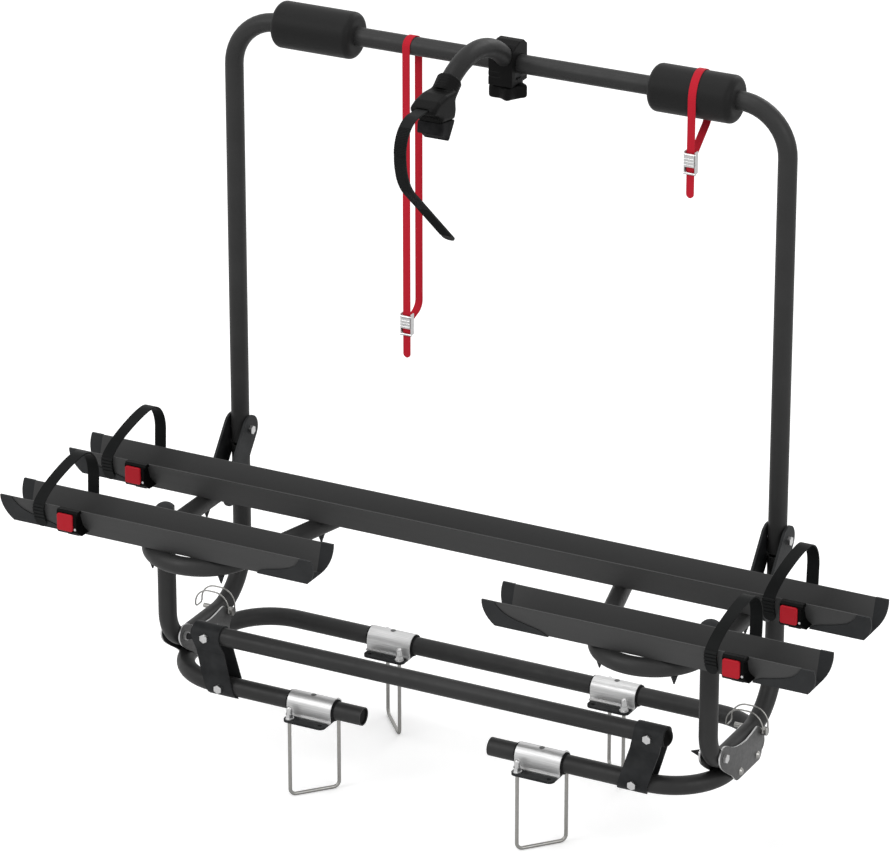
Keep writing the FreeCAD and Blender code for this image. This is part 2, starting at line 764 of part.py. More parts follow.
def rail_support(side):
    """Tube arms under the rails, coped to the two legs of the side hoop."""
    x = side * hoop_x
    centre = support_bend_centre(side)
    angle = math.radians(support_inner_angle)
    bend_start = V(x, centre.y, support_z)
    bend_middle = centre + V(0, -support_bend_radius, 0)
    bend_end = centre + V(-side * math.cos(angle), -math.sin(angle), 0) * support_bend_radius
    rear_end = inner_arm_point(side, support_rear_end_y)
    edges = [Part.LineSegment(V(x, hoop_plane_y, support_z), bend_start).toShape()]
    edges.append(Part.Arc(bend_start, bend_middle, bend_end).toShape())
    edges.append(Part.LineSegment(bend_end, rear_end).toShape())
    tube = tube_along(Part.Wire(edges))
    through = 3 * tube_diameter
    leg_places = [V(x, leg_y, support_z) for leg_y in (front_leg_y, hoop_plane_y)]
    legs = [rod(place, AXIS_Z, tube_radius, through) for place in leg_places]
    drill = rail_bolt_diameter / 2
    bolt_places = [V(place.x, place.y, support_z) for place in support_bolt_places(side)]
    bolts = [rod(place, AXIS_Z, drill, through) for place in bolt_places]
    brace = rod(V(x, brace_foot_y, support_z), AXIS_X, brace_bolt_diameter / 2, 3 * tube_diameter)
    return tube.cut(legs + bolts + [brace])


# Rails

def rail_section(offset, x, y):
    """Closed outline of the rail's outside, grown by an offset."""
    slope = (rail_top_width - rail_floor_width) / 2 / rail_height
    grow = offset * math.hypot(1, slope)
    floor = rail_floor_width / 2 + grow - offset * slope
    top = rail_top_width / 2 + grow
    return [V(x, y - floor, rail_floor_height - offset), V(x, y + floor, rail_floor_height - offset),
            V(x, y + top, rail_top_z), V(x, y - top, rail_top_z)]


def rail_prism(offset, start_x, end_x, y, extra_top=0.0):
    """Solid rail outline between two ends, optionally carried on above the rim."""
    corners = rail_section(offset, start_x, y)
    if extra_top > 0:
        lean = (rail_top_width - rail_floor_width) / 2 / rail_height * extra_top
        corners[2] = corners[2] + V(0, lean, extra_top)
        corners[3] = corners[3] + V(0, -lean, extra_top)
    return outline_face(corners).extrude(AXIS_X * (end_x - start_x))


def rail(start_x, end_x, y, bolt_places):
    """Extruded trough with two low guide ribs on its floor."""
    trough = rail_prism(0.0, start_x, end_x, y)
    trough = trough.cut(rail_prism(-rail_wall, start_x - 1.0, end_x + 1.0, y, 5.0))
    floor = rail_floor_height + rail_wall
    ribs = []
    for side in (-1, 1):
        middle = y + side * floor_rib_spacing / 2
        low = V(start_x, middle - floor_rib_width / 2, floor)
        ribs.append(block(low, V(end_x, middle + floor_rib_width / 2, floor + floor_rib_height)))
    trough = trough.fuse(ribs)
    drill = rail_bolt_diameter / 2
    return trough.cut([rod(place, AXIS_Z, drill, 6 * rail_wall) for place in bolt_places])


def rail_cap(end_x, outward, y):
    """Plastic trough end: an outward bowed end and a side panel swept back along the rail."""
    bottom = rail_floor_height - cap_sheet
    top = rail_top_z
    back_x = end_x - outward * (cap_wing_length + cap_sweep_length)
    low_x = min(end_x, back_x) - 1.0
    high_x = max(end_x, back_x) + 1.0

    def at(inset, height):
        return V(end_x - outward * inset, y - rail_top_width, height)

    bow = at(cap_flare / 2 - cap_bow, (bottom + top) / 2 - cap_bow / 3)
    sweep = [at(cap_wing_length + cap_sweep_length * along, bottom + (top - bottom) * rise)
             for along, rise in reversed(cap_sweep_curve)]
    curve = Part.BSplineCurve()
    curve.interpolate(sweep)
    edges = [Part.Arc(at(0, top), bow, at(cap_flare, bottom)).toShape()]
    edges.append(Part.LineSegment(at(cap_flare, bottom), sweep[0]).toShape())
    edges.append(curve.toShape())
    edges.append(Part.LineSegment(sweep[-1], at(0, top)).toShape())
    profile = Part.Face(Part.Wire(edges)).extrude(AXIS_Y * (2 * rail_top_width))
    walls = rail_prism(cap_sheet, low_x, high_x, y)
    walls = walls.cut(rail_prism(-rail_wall, low_x - 1.0, high_x + 1.0, y, 5.0))
    rail_end = end_x - outward * cap_wing_length
    walls = walls.cut(rail_prism(0.0, rail_end, rail_end - outward * 2 * cap_sweep_length, y, 5.0))
    return walls.common(profile)


def rail_bolt(place):
    """Domed bolt through the rail's floor and the support tube."""
    seat = V(place.x, place.y, rail_floor_height + rail_wall)
    length = rail_wall + tube_diameter
    rim = rail_bolt_head_diameter / 2
    head = Part.makeCone(rim, rim / 2, rail_bolt_head_height, seat, AXIS_Z)
    return Part.makeCylinder(rail_bolt_diameter / 2, length, seat, AXIS_Z * -1).fuse(head)


def rail_bolt_cap(place):
    """Pointed nut cap under the support tube."""
    return nut_cap(V(place.x, place.y, support_z - tube_radius), AXIS_Z * -1)


# Wheel straps and buckles

def strap_route(apex):
    """Route of a wheel strap across its rail: near wall, arch, far wall, floor and up to the buckle."""
    gap = wheel_strap_thickness / 2 + cap_sheet + side_clearance
    floor = rail_floor_width / 2
    rim = rail_top_width / 2
    shoulder = rim + gap + wheel_strap_bulge
    rise = apex - wheel_strap_shoulder
    route = [(-floor - gap, 0.0), (-rim - gap, rail_height)]
    for step in range(wheel_strap_turns + 1):
        angle = math.pi * step / wheel_strap_turns
        route.append((-shoulder * math.cos(angle), wheel_strap_shoulder + rise * math.sin(angle)))
    route += [(rim + gap, rail_height), (floor + gap, -gap), (-floor - gap, -gap)]
    route.append((-floor - gap - 2.0, buckle_foot))
    return route


def strap_shift(share):
    """Share of its lean that a wheel strap has made at a share of its way to the far wall."""
    turn = (share - wheel_strap_lean_start) / wheel_strap_lean_span
    turn = min(max(turn, 0.0), 1.0)
    return turn * turn * (3 - 2 * turn)


def wheel_strap(near_x, lean, apex, rail_y):
    """Flat toothed strap that leans along the rail as it goes round."""
    route = strap_route(apex)
    lengths = [0.0]
    for (y0, z0), (y1, z1) in zip(route, route[1:]):
        lengths.append(lengths[-1] + math.hypot(y1 - y0, z1 - z0))
    points = []
    for (y, z), length in zip(route, lengths):
        x = near_x + lean * strap_shift(length / lengths[-4])
        points.append(V(x, rail_y + y, rail_floor_height + z))
    return ribbon(points, wheel_strap_width, wheel_strap_thickness)


def buckle_face_y(rail_y):
    """Y of the buckle's flat front."""
    return rail_y - rail_top_width / 2 - buckle_depth


def strap_buckle(buckle_x, rail_y):
    """Ratchet housing against the near wall of the rail, open at the front for the button."""
    slope = (rail_top_width - rail_floor_width) / 2 / rail_height
    low_x = buckle_x - button_width / 2 - buckle_side_wall
    high_x = low_x + buckle_width
    front = buckle_face_y(rail_y)
    low_z = rail_floor_height + buckle_foot
    high_z = low_z + buckle_height
    floor = rail_floor_width / 2
    wall_low = rail_y - floor - slope * buckle_foot
    wall_high = rail_y - floor - slope * (buckle_foot + buckle_height)
    corners = [V(low_x, front + 3.0, low_z), V(low_x, wall_low, low_z), V(low_x, wall_high, high_z)]
    corners += [V(low_x, front + 3.0, high_z), V(low_x, front, high_z - 3.0), V(low_x, front, low_z + 4.0)]
    body = outline_face(corners).extrude(AXIS_X * (buckle_width + buckle_hook))
    waist_x = high_x - buckle_waist
    flange_z = high_z - buckle_flange
    levels = [(low_x, low_z), (high_x + buckle_hook, low_z), (high_x, low_z + buckle_flange)]
    levels += [(waist_x, low_z + 2 * buckle_flange), (waist_x, flange_z), (high_x, flange_z)]
    levels += [(high_x, high_z), (low_x, high_z)]
    outline = outline_face([V(x, front - 1.0, z) for x, z in levels])
    body = body.common(outline.extrude(AXIS_Y * (3 * buckle_depth)))
    window = button_box(buckle_x, rail_y, button_side_clearance, button_depth + 4.0)
    room_x = buckle_x + wheel_strap_width / 2 + side_clearance
    room_low = V(low_x - 1.0, rail_y - floor - 8.0, low_z - 1.0)
    strap_room = block(room_low, V(room_x, rail_y - floor + 1.0, low_z + 2.0))
    return body.cut([window, strap_room])


def button_box(buckle_x, rail_y, clearance, depth):
    """Block of the release button, or its window when given a clearance."""
    front = buckle_face_y(rail_y) - button_proud
    low_z = rail_floor_height + buckle_foot + button_foot
    low = V(buckle_x - button_width / 2 - clearance, front, low_z - clearance)
    high_x = buckle_x + button_width / 2 + clearance
    return block(low, V(high_x, front + depth, low_z + button_height + clearance))


def release_button(buckle_x, rail_y):
    """Red button with rounded corners and softened front edges."""
    button = button_box(buckle_x, rail_y, 0.0, button_depth)
    corners = [edge for edge in button.Edges if abs(edge.tangentAt(edge.FirstParameter).y) > 0.9]
    button = button.makeFillet(button_corner_radius, corners)
    front_y = button.BoundBox.YMin
    edges = [edge for edge in button.Edges if edge.BoundBox.YMax < front_y + 0.01]
    return button.makeFillet(button_edge_radius, edges)


# Brace plates and upper hoop

def brace_plate(side, face):
    """Flat stay from the fold pivot down to the support arm."""
    x = side * hoop_x + face * plate_inner_face
    radius = brace_width / 2
    top = V(x, hoop_plane_y, fold_pivot_z)
    foot = V(x, brace_foot_y, support_z)
    along = (top - foot).normalize()
    across = AXIS_X.cross(along) * radius
    edges = [Part.Arc(top + across, top + along * radius, top - across).toShape()]
    edges.append(Part.LineSegment(top - across, foot - across).toShape())
    edges.append(Part.Arc(foot - across, foot - along * radius, foot + across).toShape())
    edges.append(Part.LineSegment(foot + across, top + across).toShape())
    plate = Part.Face(Part.Wire(edges)).extrude(AXIS_X * (face * brace_sheet))
    drill = brace_bolt_diameter / 2
    return plate.cut([rod(place, AXIS_X, drill, 6 * brace_sheet) for place in (top, foot)])


def brace_bolts(side):
    """Fold pivot bolt and foot bolt of a pair of brace plates."""
    grip = 2 * (plate_inner_face + brace_sheet)
    x = side * hoop_x
    places = [V(x, hoop_plane_y, fold_pivot_z), V(x, brace_foot_y, support_z)]
    return [hoop_bolt(place, AXIS_X * -side, brace_bolt_diameter, grip, 13.0, 5.0) for place in places]


def upper_hoop():
    """Inverted U of tube, drilled at its lower ends for the fold pivots."""
    low_z = fold_pivot_z - fold_stub
    points = [V(-hoop_x, hoop_plane_y, low_z), V(-hoop_x, hoop_plane_y, upper_hoop_height)]
    points += [V(-point.x, point.y, point.z) for point in reversed(points)]
    hoop = tube_along(edge_path(points, [upper_hoop_radius] * 2))
    drill = brace_bolt_diameter / 2 + running_clearance
    pivots = [V(side * hoop_x, hoop_plane_y, fold_pivot_z) for side in SIDES.values()]
    return hoop.cut([rod(pivot, AXIS_X, drill, 3 * tube_diameter) for pivot in pivots])


def foam_grip(side):
    """Thick foam sleeve on the top tube, next to the corner."""
    centre = V(side * foam_centre_x, hoop_plane_y, upper_hoop_height)
    sleeve = rod(centre, AXIS_X, foam_diameter / 2, foam_length)
    sleeve = sleeve.makeFillet(foam_edge_radius, [edge for edge in sleeve.Edges if edge.Closed])
    return sleeve.cut(rod(centre, AXIS_X, tube_radius, 2 * foam_length))


# Red webbing straps

def webbing_reach(core_radius):
    """Distance from a core's axis to the middle of the webbing that lies round it in short flats."""
    return (core_radius + webbing_thickness / 2) / math.cos(math.pi / 2 / webbing_turns)


def webbing(x, skew, core_radius, drop, tail):
    """Strap looped over a round core: front run straight down, back run joining it at the buckle."""
    reach = webbing_reach(core_radius)
    y = hoop_plane_y
    z = upper_hoop_height
    low_z = z - drop
    points = [V(x, y - reach, low_z - tail), V(x, y - reach, low_z + tail)]
    for step in range(webbing_turns + 1):
        angle = math.pi * step / webbing_turns
        across = x + skew * step / webbing_turns
        points.append(V(across, y - reach * math.cos(angle), z + reach * math.sin(angle)))
    join_y = y - reach + webbing_thickness * 1.6
    join_z = low_z + 4.0
    knee_z = join_z + min(0.35 * drop, 2.2 * reach) + reach
    back = x + skew
    points.append(V(back, y + reach, max(knee_z, join_z + 0.8 * drop)))
    points.append(V(back, y + 0.93 * reach, knee_z + 0.06 * (z - knee_z)))
    points.append(V(x, join_y + 0.6, join_z + 3.0))
    points.append(V(x, join_y, join_z - 1.0))
    points.append(V(x, join_y, join_z - 12.0))
    return ribbon(points, webbing_width, webbing_thickness)


def cam_place(x, core_radius, drop):
    """Middle of a cam buckle, on the front run of its strap."""
    front_y = hoop_plane_y - webbing_reach(core_radius)
    return V(x, front_y, upper_hoop_height - drop)


def cam_frame(place):
    """Pressed buckle frame: back plate, two cheeks and a round bar at the bottom."""
    half = cam_frame_width / 2
    back_y = place.y + webbing_thickness * 2.4
    low_z = place.z - cam_frame_height / 2
    high_z = place.z + cam_frame_height / 2
    back_high = V(place.x + half, back_y + cam_sheet, place.z - 2.0)
    back = block(V(place.x - half, back_y, low_z + 2.0), back_high)
    cheeks = []
    for side in (-1, 1):
        edge_x = place.x + side * half
        low_x = min(edge_x, edge_x - side * cam_sheet)
        low = V(low_x, back_y + cam_sheet - cam_frame_depth, low_z + 2.0)
        cheeks.append(block(low, V(low_x + cam_sheet, back_y + cam_sheet, high_z)))
    bar_y = place.y - webbing_thickness / 2 - cam_bar_diameter / 2 - running_clearance
    bar = rod(V(place.x, bar_y, low_z + 2.0), AXIS_X, cam_bar_diameter / 2, cam_frame_width)
    pin = rod(cam_hinge(place), AXIS_X, 1.5, cam_frame_width)
    return back.fuse(cheeks + [bar, pin])


def cam_hinge(place):
    """Axis of a cam lever."""
    return V(place.x, place.y - webbing_thickness / 2 - 2.6, place.z + cam_frame_height / 2 - 5.0)


def cam_lever(place):
    """Ribbed lever between the cheeks, which swings out to free the webbing."""
    hinge = cam_hinge(place)
    half = cam_frame_width / 2 - cam_sheet - side_clearance
    low = V(hinge.x - half, hinge.y - cam_lever_thickness + 1.0, hinge.z - cam_lever_height)
    blade = block(low, low + V(2 * half, cam_lever_thickness - 1.2, cam_lever_height))
    barrel = rod(hinge, AXIS_X, 2.4, 2 * half)
    ribs = []
    for step in range(3):
        rib_z = low.z + 3.0 + 5.0 * step
        ribs.append(rod(V(hinge.x, low.y, rib_z), AXIS_X, 0.9, 2 * half))
    lever = blade.fuse([barrel] + ribs)
    return lever.cut(rod(hinge, AXIS_X, 1.5 + running_clearance, 4 * half))


# Bike arm

def arm_point(forward, rise, x=arm_centre_x):
    """Point in the arm's plane, from the axis of the top tube."""
    return V(x, hoop_plane_y - forward, upper_hoop_height + rise)


def filled_outline(points, x, width):
    """Prism across X from points given as forward and rise."""
    low = x - width / 2
    return outline_face([arm_point(forward, rise, low) for forward, rise in points]).extrude(AXIS_X * width)


def arm_clamp_body():
    """Block hooked over the top tube, open at the rear, with a floor that takes the knob's screw."""
    front = tube_radius + clamp_front_wall
    back = tube_radius + clamp_back_wall
    floor = -clamp_floor_drop
    bevel = clamp_chamfer
    top = clamp_top_rise
    outline = [(front, floor), (front, clamp_brow_rise / 2), (front - 2.0, clamp_brow_rise)]
    outline += [(front / 2, top - 4.0), (0, top), (-back / 2, top), (-back, top - bevel), (-back, floor)]
    body = filled_outline(outline, clamp_centre_x, clamp_width)
    centre = arm_point(0, 0, clamp_centre_x)
    room = rod(centre, AXIS_X, tube_radius, 2 * clamp_width)
    ledge = floor + clamp_floor_thickness
    throat = [(tube_radius, ledge), (tube_radius, 0), (-tube_radius, 0), (-tube_radius, ledge)]
    sill = -tube_radius / 5
    door = [(0, ledge), (0, sill), (-2 * back, sill), (-2 * back, ledge)]
    rooms = [filled_outline(points, clamp_centre_x, 2 * clamp_width) for points in (throat, door)]
    screw_start = centre - AXIS_Z * (clamp_floor_drop + 1.0)
    screw_radius = arm_screw_diameter / 2 + running_clearance
    screw = Part.makeCylinder(screw_radius, clamp_floor_drop, screw_start, AXIS_Z)
    grooves = []
    for step in (2, 5):
        low = -step * clamp_groove
        points = [(front - clamp_groove / 2, low), (front + 1, low), (front + 1, low - clamp_groove)]
        points.append((front - clamp_groove / 2, low - clamp_groove))
        grooves.append(filled_outline(points, clamp_centre_x - clamp_width / 2, clamp_width))
    return body.cut([room, screw, arm_core()] + rooms + grooves)


def arm_clamp_pad():
    """Pressure pad between the top tube and the knob's screw."""
    half = tube_radius - side_clearance
    low = -tube_radius - pad_thickness
    pad = filled_outline([(half, low), (half, -tube_radius / 2), (-half, -tube_radius / 2), (-half, low)],
                         clamp_centre_x, clamp_width - 8.0)
    return pad.cut(rod(arm_point(0, 0, clamp_centre_x), AXIS_X, tube_radius, 2 * clamp_width))


def clamp_knob():
    """Lobed knob with its screw, which runs up through the clamp's floor to the pad."""
    top = arm_point(0, -clamp_floor_drop - knob_gap, clamp_centre_x)
    base = top - AXIS_Z * knob_thickness
    lobe_radius = knob_diameter * knob_lobe_share
    reach = knob_diameter / 2 - lobe_radius
    body = Part.makeCylinder(knob_diameter * knob_waist_share, knob_thickness, base, AXIS_Z)
    spots = []
    for step in range(knob_lobes):
        angle = 2 * math.pi * step / knob_lobes
        spots.append(V(reach * math.cos(angle), reach * math.sin(angle), 0))
    lobes = [Part.makeCylinder(lobe_radius, knob_thickness, base + spot, AXIS_Z) for spot in spots]
    depth = knob_thickness / 4
    dish = Part.makeCone(reach * 0.45, reach * 0.7, depth, base + AXIS_Z * depth, AXIS_Z * -1)
    boss = Part.makeCylinder(arm_screw_diameter, knob_gap - side_clearance, top, AXIS_Z)
    length = knob_gap + clamp_floor_drop - tube_radius - pad_thickness - side_clearance
    screw = Part.makeCylinder(arm_screw_diameter / 2, length, top, AXIS_Z)
    return body.fuse(lobes).cut(dish).fuse([boss, screw])


def arm_path():
    """Arc of the arm's axis from the clamp to the head."""
    start = arm_point(arm_start, arm_start_rise)
    middle = arm_point((arm_start + arm_reach) / 2, arm_crown)
    return Part.Wire([Part.Arc(start, middle, arm_point(arm_reach, arm_end_rise)).toShape()])


def arm_core():
    """Solid bar along the arm's axis, as wide as the arm's tube."""
    return bar_along(arm_path(), tube_radius)


def arm_tube():
    """Curved tube that reaches over the bikes."""
    return tube_along(arm_path()).cut(rod(arm_point(0, 0), AXIS_X, tube_radius + 2.0, 4 * clamp_width))


def arm_end_frame():
    """End point of the arm's axis and the unit direction it leaves in."""
    edge = arm_path().Edges[0]
    return edge.valueAt(edge.LastParameter), edge.tangentAt(edge.LastParameter).normalize()


def head_outline(points):
    """Prism of the head's width from points in shares of the nose's length from the arm's end."""
    size = head_nose
    placed = [(arm_reach + forward * size, arm_end_rise + rise * size) for forward, rise in points]
    return filled_outline(placed, arm_centre_x, head_width)


def soften(solid, radius):
    """Round the two side outlines of a prism that runs along X."""
    low = solid.BoundBox.XMin + 0.01
    high = solid.BoundBox.XMax - 0.01
    rims = [edge for edge in solid.Edges if edge.BoundBox.XMax < low or edge.BoundBox.XMin > high]
    return solid.makeFillet(radius, rims)


def jaw_room():
    """Round space under the nose where a bike's frame tube lies."""
    centre = arm_point(arm_reach + jaw_forward, arm_end_rise - jaw_drop)
    return rod(centre, AXIS_X, jaw_radius, 2 * head_width)


def arm_head():
    """Moulded head: ribbed collar on the tube, housing and a nose that carries the strap."""
    end, along = arm_end_frame()
    base = end - along * (collar_length - 6.0)
    collar = Part.makeCylinder(collar_diameter / 2, collar_length, base, along)
    step = collar_length / (collar_ribs + 1)
    rib_radius = collar_diameter / 2 + 1.0
    ribs = [Part.makeCylinder(rib_radius, step * 0.45, base + along * (step * (index + 0.6)), along)
            for index in range(collar_ribs)]
    housing = soften(head_outline(head_top + head_front + head_rear), head_edge_radius)
    return housing.fuse([collar] + ribs).cut([arm_core(), jaw_room(), arm_strap_slot()])


def arm_strap_slot():
    """Slot in the nose that the ratchet strap comes out of."""
    half = ratchet_strap_width / 2 + side_clearance
    tall = ratchet_strap_thickness / 2 + side_clearance
    nose = arm_point(arm_reach + head_nose, arm_end_rise - slot_drop)
    low = V(nose.x - half, nose.y - 1.0, nose.z - tall)
    return block(low, V(nose.x + half, nose.y + slot_depth, nose.z + tall))


def arm_cradle():
    """Rubber block under the housing, hollowed where the frame tube lies."""
    return soften(head_outline(cradle_outline), head_edge_radius / 2).cut(jaw_room())


def ratchet_strap():
    """Black strap from the slot in the nose: out, down and back in one long curl."""
    x = arm_centre_x
    nose_y = hoop_plane_y - arm_reach - head_nose
    z = upper_hoop_height + arm_end_rise - slot_drop
    start = V(x, nose_y + slot_depth - side_clearance, z)
    front_y = nose_y - ratchet_strap_reach
    points = [start, V(x, front_y, z), V(x, front_y, z - ratchet_strap_fall)]
    points.append(V(x, front_y + ratchet_strap_return, z - ratchet_strap_drop))
    path = edge_path(points, [ratchet_strap_first_bend, ratchet_strap_second_bend])
    return strap_along(path, ratchet_strap_width, ratchet_strap_thickness)


def build_base():
    """Pieces that stay on the drawbar."""
    rivets = [place for side in SIDES.values() for place in rivet_places(side)]
    bolts = [place for side in SIDES.values() for place in bracket_bolt_places(side)]
    shank = brace_bolt_diameter / 2
    rivet_holes = [rod(place, AXIS_X, rivet_diameter / 2, 2 * tube_diameter) for place in rivets]
    bolt_holes = [rod(place, AXIS_Y, shank, 2 * tube_diameter) for place in bolts]
    places = clamp_places()
    screws = [clamp_screw(centre) for _, centre, _ in places]
    save("base_tube", tube_along(base_path()).cut(rivet_holes + bolt_holes + screws))
    save("base_tube_plugs", *base_tube_plugs())
    save("bridge_tube", bridge_tube().cut(bolt_holes))
    ends = [(V(side * bridge_length / 2, -base_y, bridge_z), AXIS_X * side) for side in SIDES.values()]
    save("bridge_caps", *[domed_cap(end, outward) for end, outward in ends])
    save("bridge_brackets", *[bridge_bracket(side) for side in SIDES.values()])
    save("bridge_bolts", *[bracket_bolt(place) for place in bolts])
    shells = [clamp_shell(centre).cut(clamp_screw(centre, shell_sheet)) for _, centre, _ in places]
    save("clamp_shells", *shells)
    save("clamp_liners", *[clamp_liner(centre).cut(screws) for _, centre, _ in places])
    save("clamp_plates", *[clamp_plate(centre) for _, centre, _ in places])
    save("clamp_screws", *screws)
    for row in ("front", "rear"):
        own = [place for place in places if place[0].startswith(row)]
        save("u_bolts_" + row, *[u_bolt(centre, diagonal) for _, centre, diagonal in own])
    legs = [leg for _, centre, diagonal in places for leg in u_bolt_legs(centre, diagonal)]
    save("clamp_nuts", *[clamp_nut(leg) for leg in legs])
    for name, side in SIDES.items():
        save("pivot_plates_" + name, *[pivot_plate(side, face) for face in (-1, 1)])
    save("plate_rivets", *[plate_rivet(place) for place in rivets])
    save("pivot_bolts", *[pivot_bolt(side) for side in SIDES.values()])
    save("pivot_bolt_caps", *[pivot_bolt_cap(side) for side in SIDES.values()])


def build_carrier():
    """Pieces that tilt with the rails."""
    for name, side in SIDES.items():
        save("side_hoop_" + name, side_hoop(side))
        save("rail_support_" + name, *rail_support(side).Solids)
        save("brace_plates_" + name, *[brace_plate(side, face) for face in (-1, 1)])
        save("pin_bail_" + name, pin_bail(side))
    tops = [V(side * hoop_x, front_leg_y, front_leg_top) for side in SIDES.values()]
    save("leg_caps", *[domed_cap(top, AXIS_Z) for top in tops])
    save("brace_bolts", *[bolt for side in SIDES.values() for bolt in brace_bolts(side)])
    save("lock_pins", *[lock_pin(side) for side in SIDES.values()])
    bolts = [place for side in SIDES.values() for place in support_bolt_places(side)]
    save("rail_bolts", *[rail_bolt(place) for place in bolts])
    save("rail_bolt_caps", *[rail_bolt_cap(place) for place in bolts])


def build_rails():
    """Rails, end caps, wheel straps, buckles and buttons."""
    inner = front_rail_gap / 2
    spans = [("rear_rail", rail_left_x, rail_right_x, rear_rail_y)]
    spans.append(("front_rail_left", rail_left_x, -inner, front_rail_y))
    spans.append(("front_rail_right", inner, rail_right_x, front_rail_y))
    bolts = [place for side in SIDES.values() for place in support_bolt_places(side)]
    caps = {"rear": [], "front": []}
    for name, start_x, end_x, y in spans:
        own = [place for place in bolts if abs(place.y - y) < 1.0 and start_x < place.x < end_x]
        save(name, rail(start_x + cap_wing_length, end_x - cap_wing_length, y, own))
        caps[name[:name.index("_")]] += [rail_cap(start_x, -1, y), rail_cap(end_x, 1, y)]
    for row, solids in caps.items():
        save(row + "_rail_caps", *solids)
    left_x = rail_left_x + strap_inset_left
    right_x = rail_right_x - strap_inset_right
    buckles = []
    for row, rail_y in (("rear", rear_rail_y), ("front", front_rail_y)):
        units = [("left", left_x, strap_lean_left, strap_apex_left)]
        units.append(("right", right_x, strap_lean_right, strap_apex_right))
        for name, near_x, lean, apex in units:
            save("wheel_strap_" + row + "_" + name, wheel_strap(near_x, lean, apex, rail_y))
            save("release_button_" + row + "_" + name, release_button(near_x + lean, rail_y))
            buckles.append(strap_buckle(near_x + lean, rail_y))
    save("strap_buckles", *buckles)


def build_upper_hoop():
    """Folding hoop with its foam sleeves and red straps."""
    save("upper_hoop", upper_hoop())
    save("foam_grips", *[foam_grip(side) for side in SIDES.values()])
    foam_radius = foam_diameter / 2
    long_run = (long_strap_drop, long_strap_tail)
    short_run = (short_strap_drop, short_strap_tail)
    straps = [("long", long_strap_x, long_strap_skew, tube_radius, long_run)]
    straps.append(("short", short_strap_x, short_strap_skew, foam_radius, short_run))
    frames = []
    for name, x, skew, core_radius, (drop, tail) in straps:
        save("red_strap_" + name, webbing(x, skew, core_radius, drop, tail))
        place = cam_place(x, core_radius, drop)
        frames.append(cam_frame(place))
        save("cam_lever_" + name, cam_lever(place))
    save("cam_frames", *frames)


def build_bike_arm():
    """Arm that holds a bike's frame."""
    save("arm_clamp_body", arm_clamp_body())
    save("arm_clamp_pad", arm_clamp_pad())
    save("clamp_knob", clamp_knob())
    save("arm_tube", arm_tube())
    save("arm_head", arm_head())
    save("arm_cradle", arm_cradle())
    save("ratchet_strap", ratchet_strap())


os.makedirs("parts", exist_ok=True)
build_base()
build_carrier()
build_rails()
build_upper_hoop()
build_bike_arm()
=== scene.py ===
"""Looks of a caravan drawbar bike rack.

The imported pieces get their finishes. Foam, webbing, toothed straps, rounded mouldings, the star knob, the
pivot plates, the clamps' rubber sleeves and the ratchet pins are modelled here.

Everything is in metres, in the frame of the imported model: +X along the wheel channels, +Y towards the
caravan, +Z up.
"""

import json
import logging
import math
from abc import ABC, abstractmethod
from dataclasses import dataclass, field
from enum import Enum

import bmesh
import bpy
from mathutils import Matrix, Vector


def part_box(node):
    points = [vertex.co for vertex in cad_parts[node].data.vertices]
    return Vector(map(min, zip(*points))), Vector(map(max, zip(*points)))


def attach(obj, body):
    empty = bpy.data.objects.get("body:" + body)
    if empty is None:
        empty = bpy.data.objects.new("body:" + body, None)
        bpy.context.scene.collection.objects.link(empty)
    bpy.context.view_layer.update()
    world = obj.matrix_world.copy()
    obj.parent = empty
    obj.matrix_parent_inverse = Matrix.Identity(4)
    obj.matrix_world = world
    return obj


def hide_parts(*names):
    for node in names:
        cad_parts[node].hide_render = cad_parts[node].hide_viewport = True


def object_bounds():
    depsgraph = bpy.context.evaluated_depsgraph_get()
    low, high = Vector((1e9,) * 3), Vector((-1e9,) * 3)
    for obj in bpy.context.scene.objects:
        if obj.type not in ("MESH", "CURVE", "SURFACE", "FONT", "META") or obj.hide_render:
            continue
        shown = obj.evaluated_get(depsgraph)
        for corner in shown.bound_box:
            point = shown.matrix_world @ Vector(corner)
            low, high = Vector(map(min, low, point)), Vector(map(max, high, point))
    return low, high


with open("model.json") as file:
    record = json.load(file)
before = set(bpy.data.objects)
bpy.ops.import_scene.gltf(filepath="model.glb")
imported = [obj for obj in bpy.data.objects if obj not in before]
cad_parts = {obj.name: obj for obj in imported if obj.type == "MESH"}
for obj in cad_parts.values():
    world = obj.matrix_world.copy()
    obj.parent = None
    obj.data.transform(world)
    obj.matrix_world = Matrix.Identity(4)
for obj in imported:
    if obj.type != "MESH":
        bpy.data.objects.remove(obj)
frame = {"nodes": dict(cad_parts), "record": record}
CAD_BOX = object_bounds()
LOG = logging.getLogger("bike_rack")

Tree = bpy.types.NodeTree
Node = bpy.types.Node
Socket = bpy.types.NodeSocket
Material = bpy.types.Material
Piece = bpy.types.Object
BMesh = bmesh.types.BMesh
BMVert = bmesh.types.BMVert
BMFace = bmesh.types.BMFace

TUBE_RADIUS = 0.015
HOOP_Y = 0.125
HOOP_TOP = 1.056
HOOP_X = 0.479
IMAGE_WIDTH = 890
ALONG_X = (1, 0, 0)
# Distances under which two vertices are one: in a turned or raised shape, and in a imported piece's triangles.
MERGE = 1e-6
WELD = 1e-5
# Nearly all of a noise texture's values lie between these.
NOISE_LOW = 0.3
NOISE_HIGH = 0.7


def linear(colour: str) -> tuple[float, float, float, float]:
    """Turn an sRGB hex colour into the linear values that a shader takes.

    Args:
        colour: Six hex digits after a hash sign.

    Returns:
        Linear red, green and blue, and an alpha of one.
    """
    values = [int(colour[i:i + 2], 16) / 255 for i in (1, 3, 5)]
    red, green, blue = (v / 12.92 if v <= 0.04045 else ((v + 0.055) / 1.055) ** 2.4 for v in values)
    return red, green, blue, 1.0


def per_mm(size: float) -> float:
    """Texture scale at which one feature of a pattern is that many millimetres."""
    return 1000.0 / size


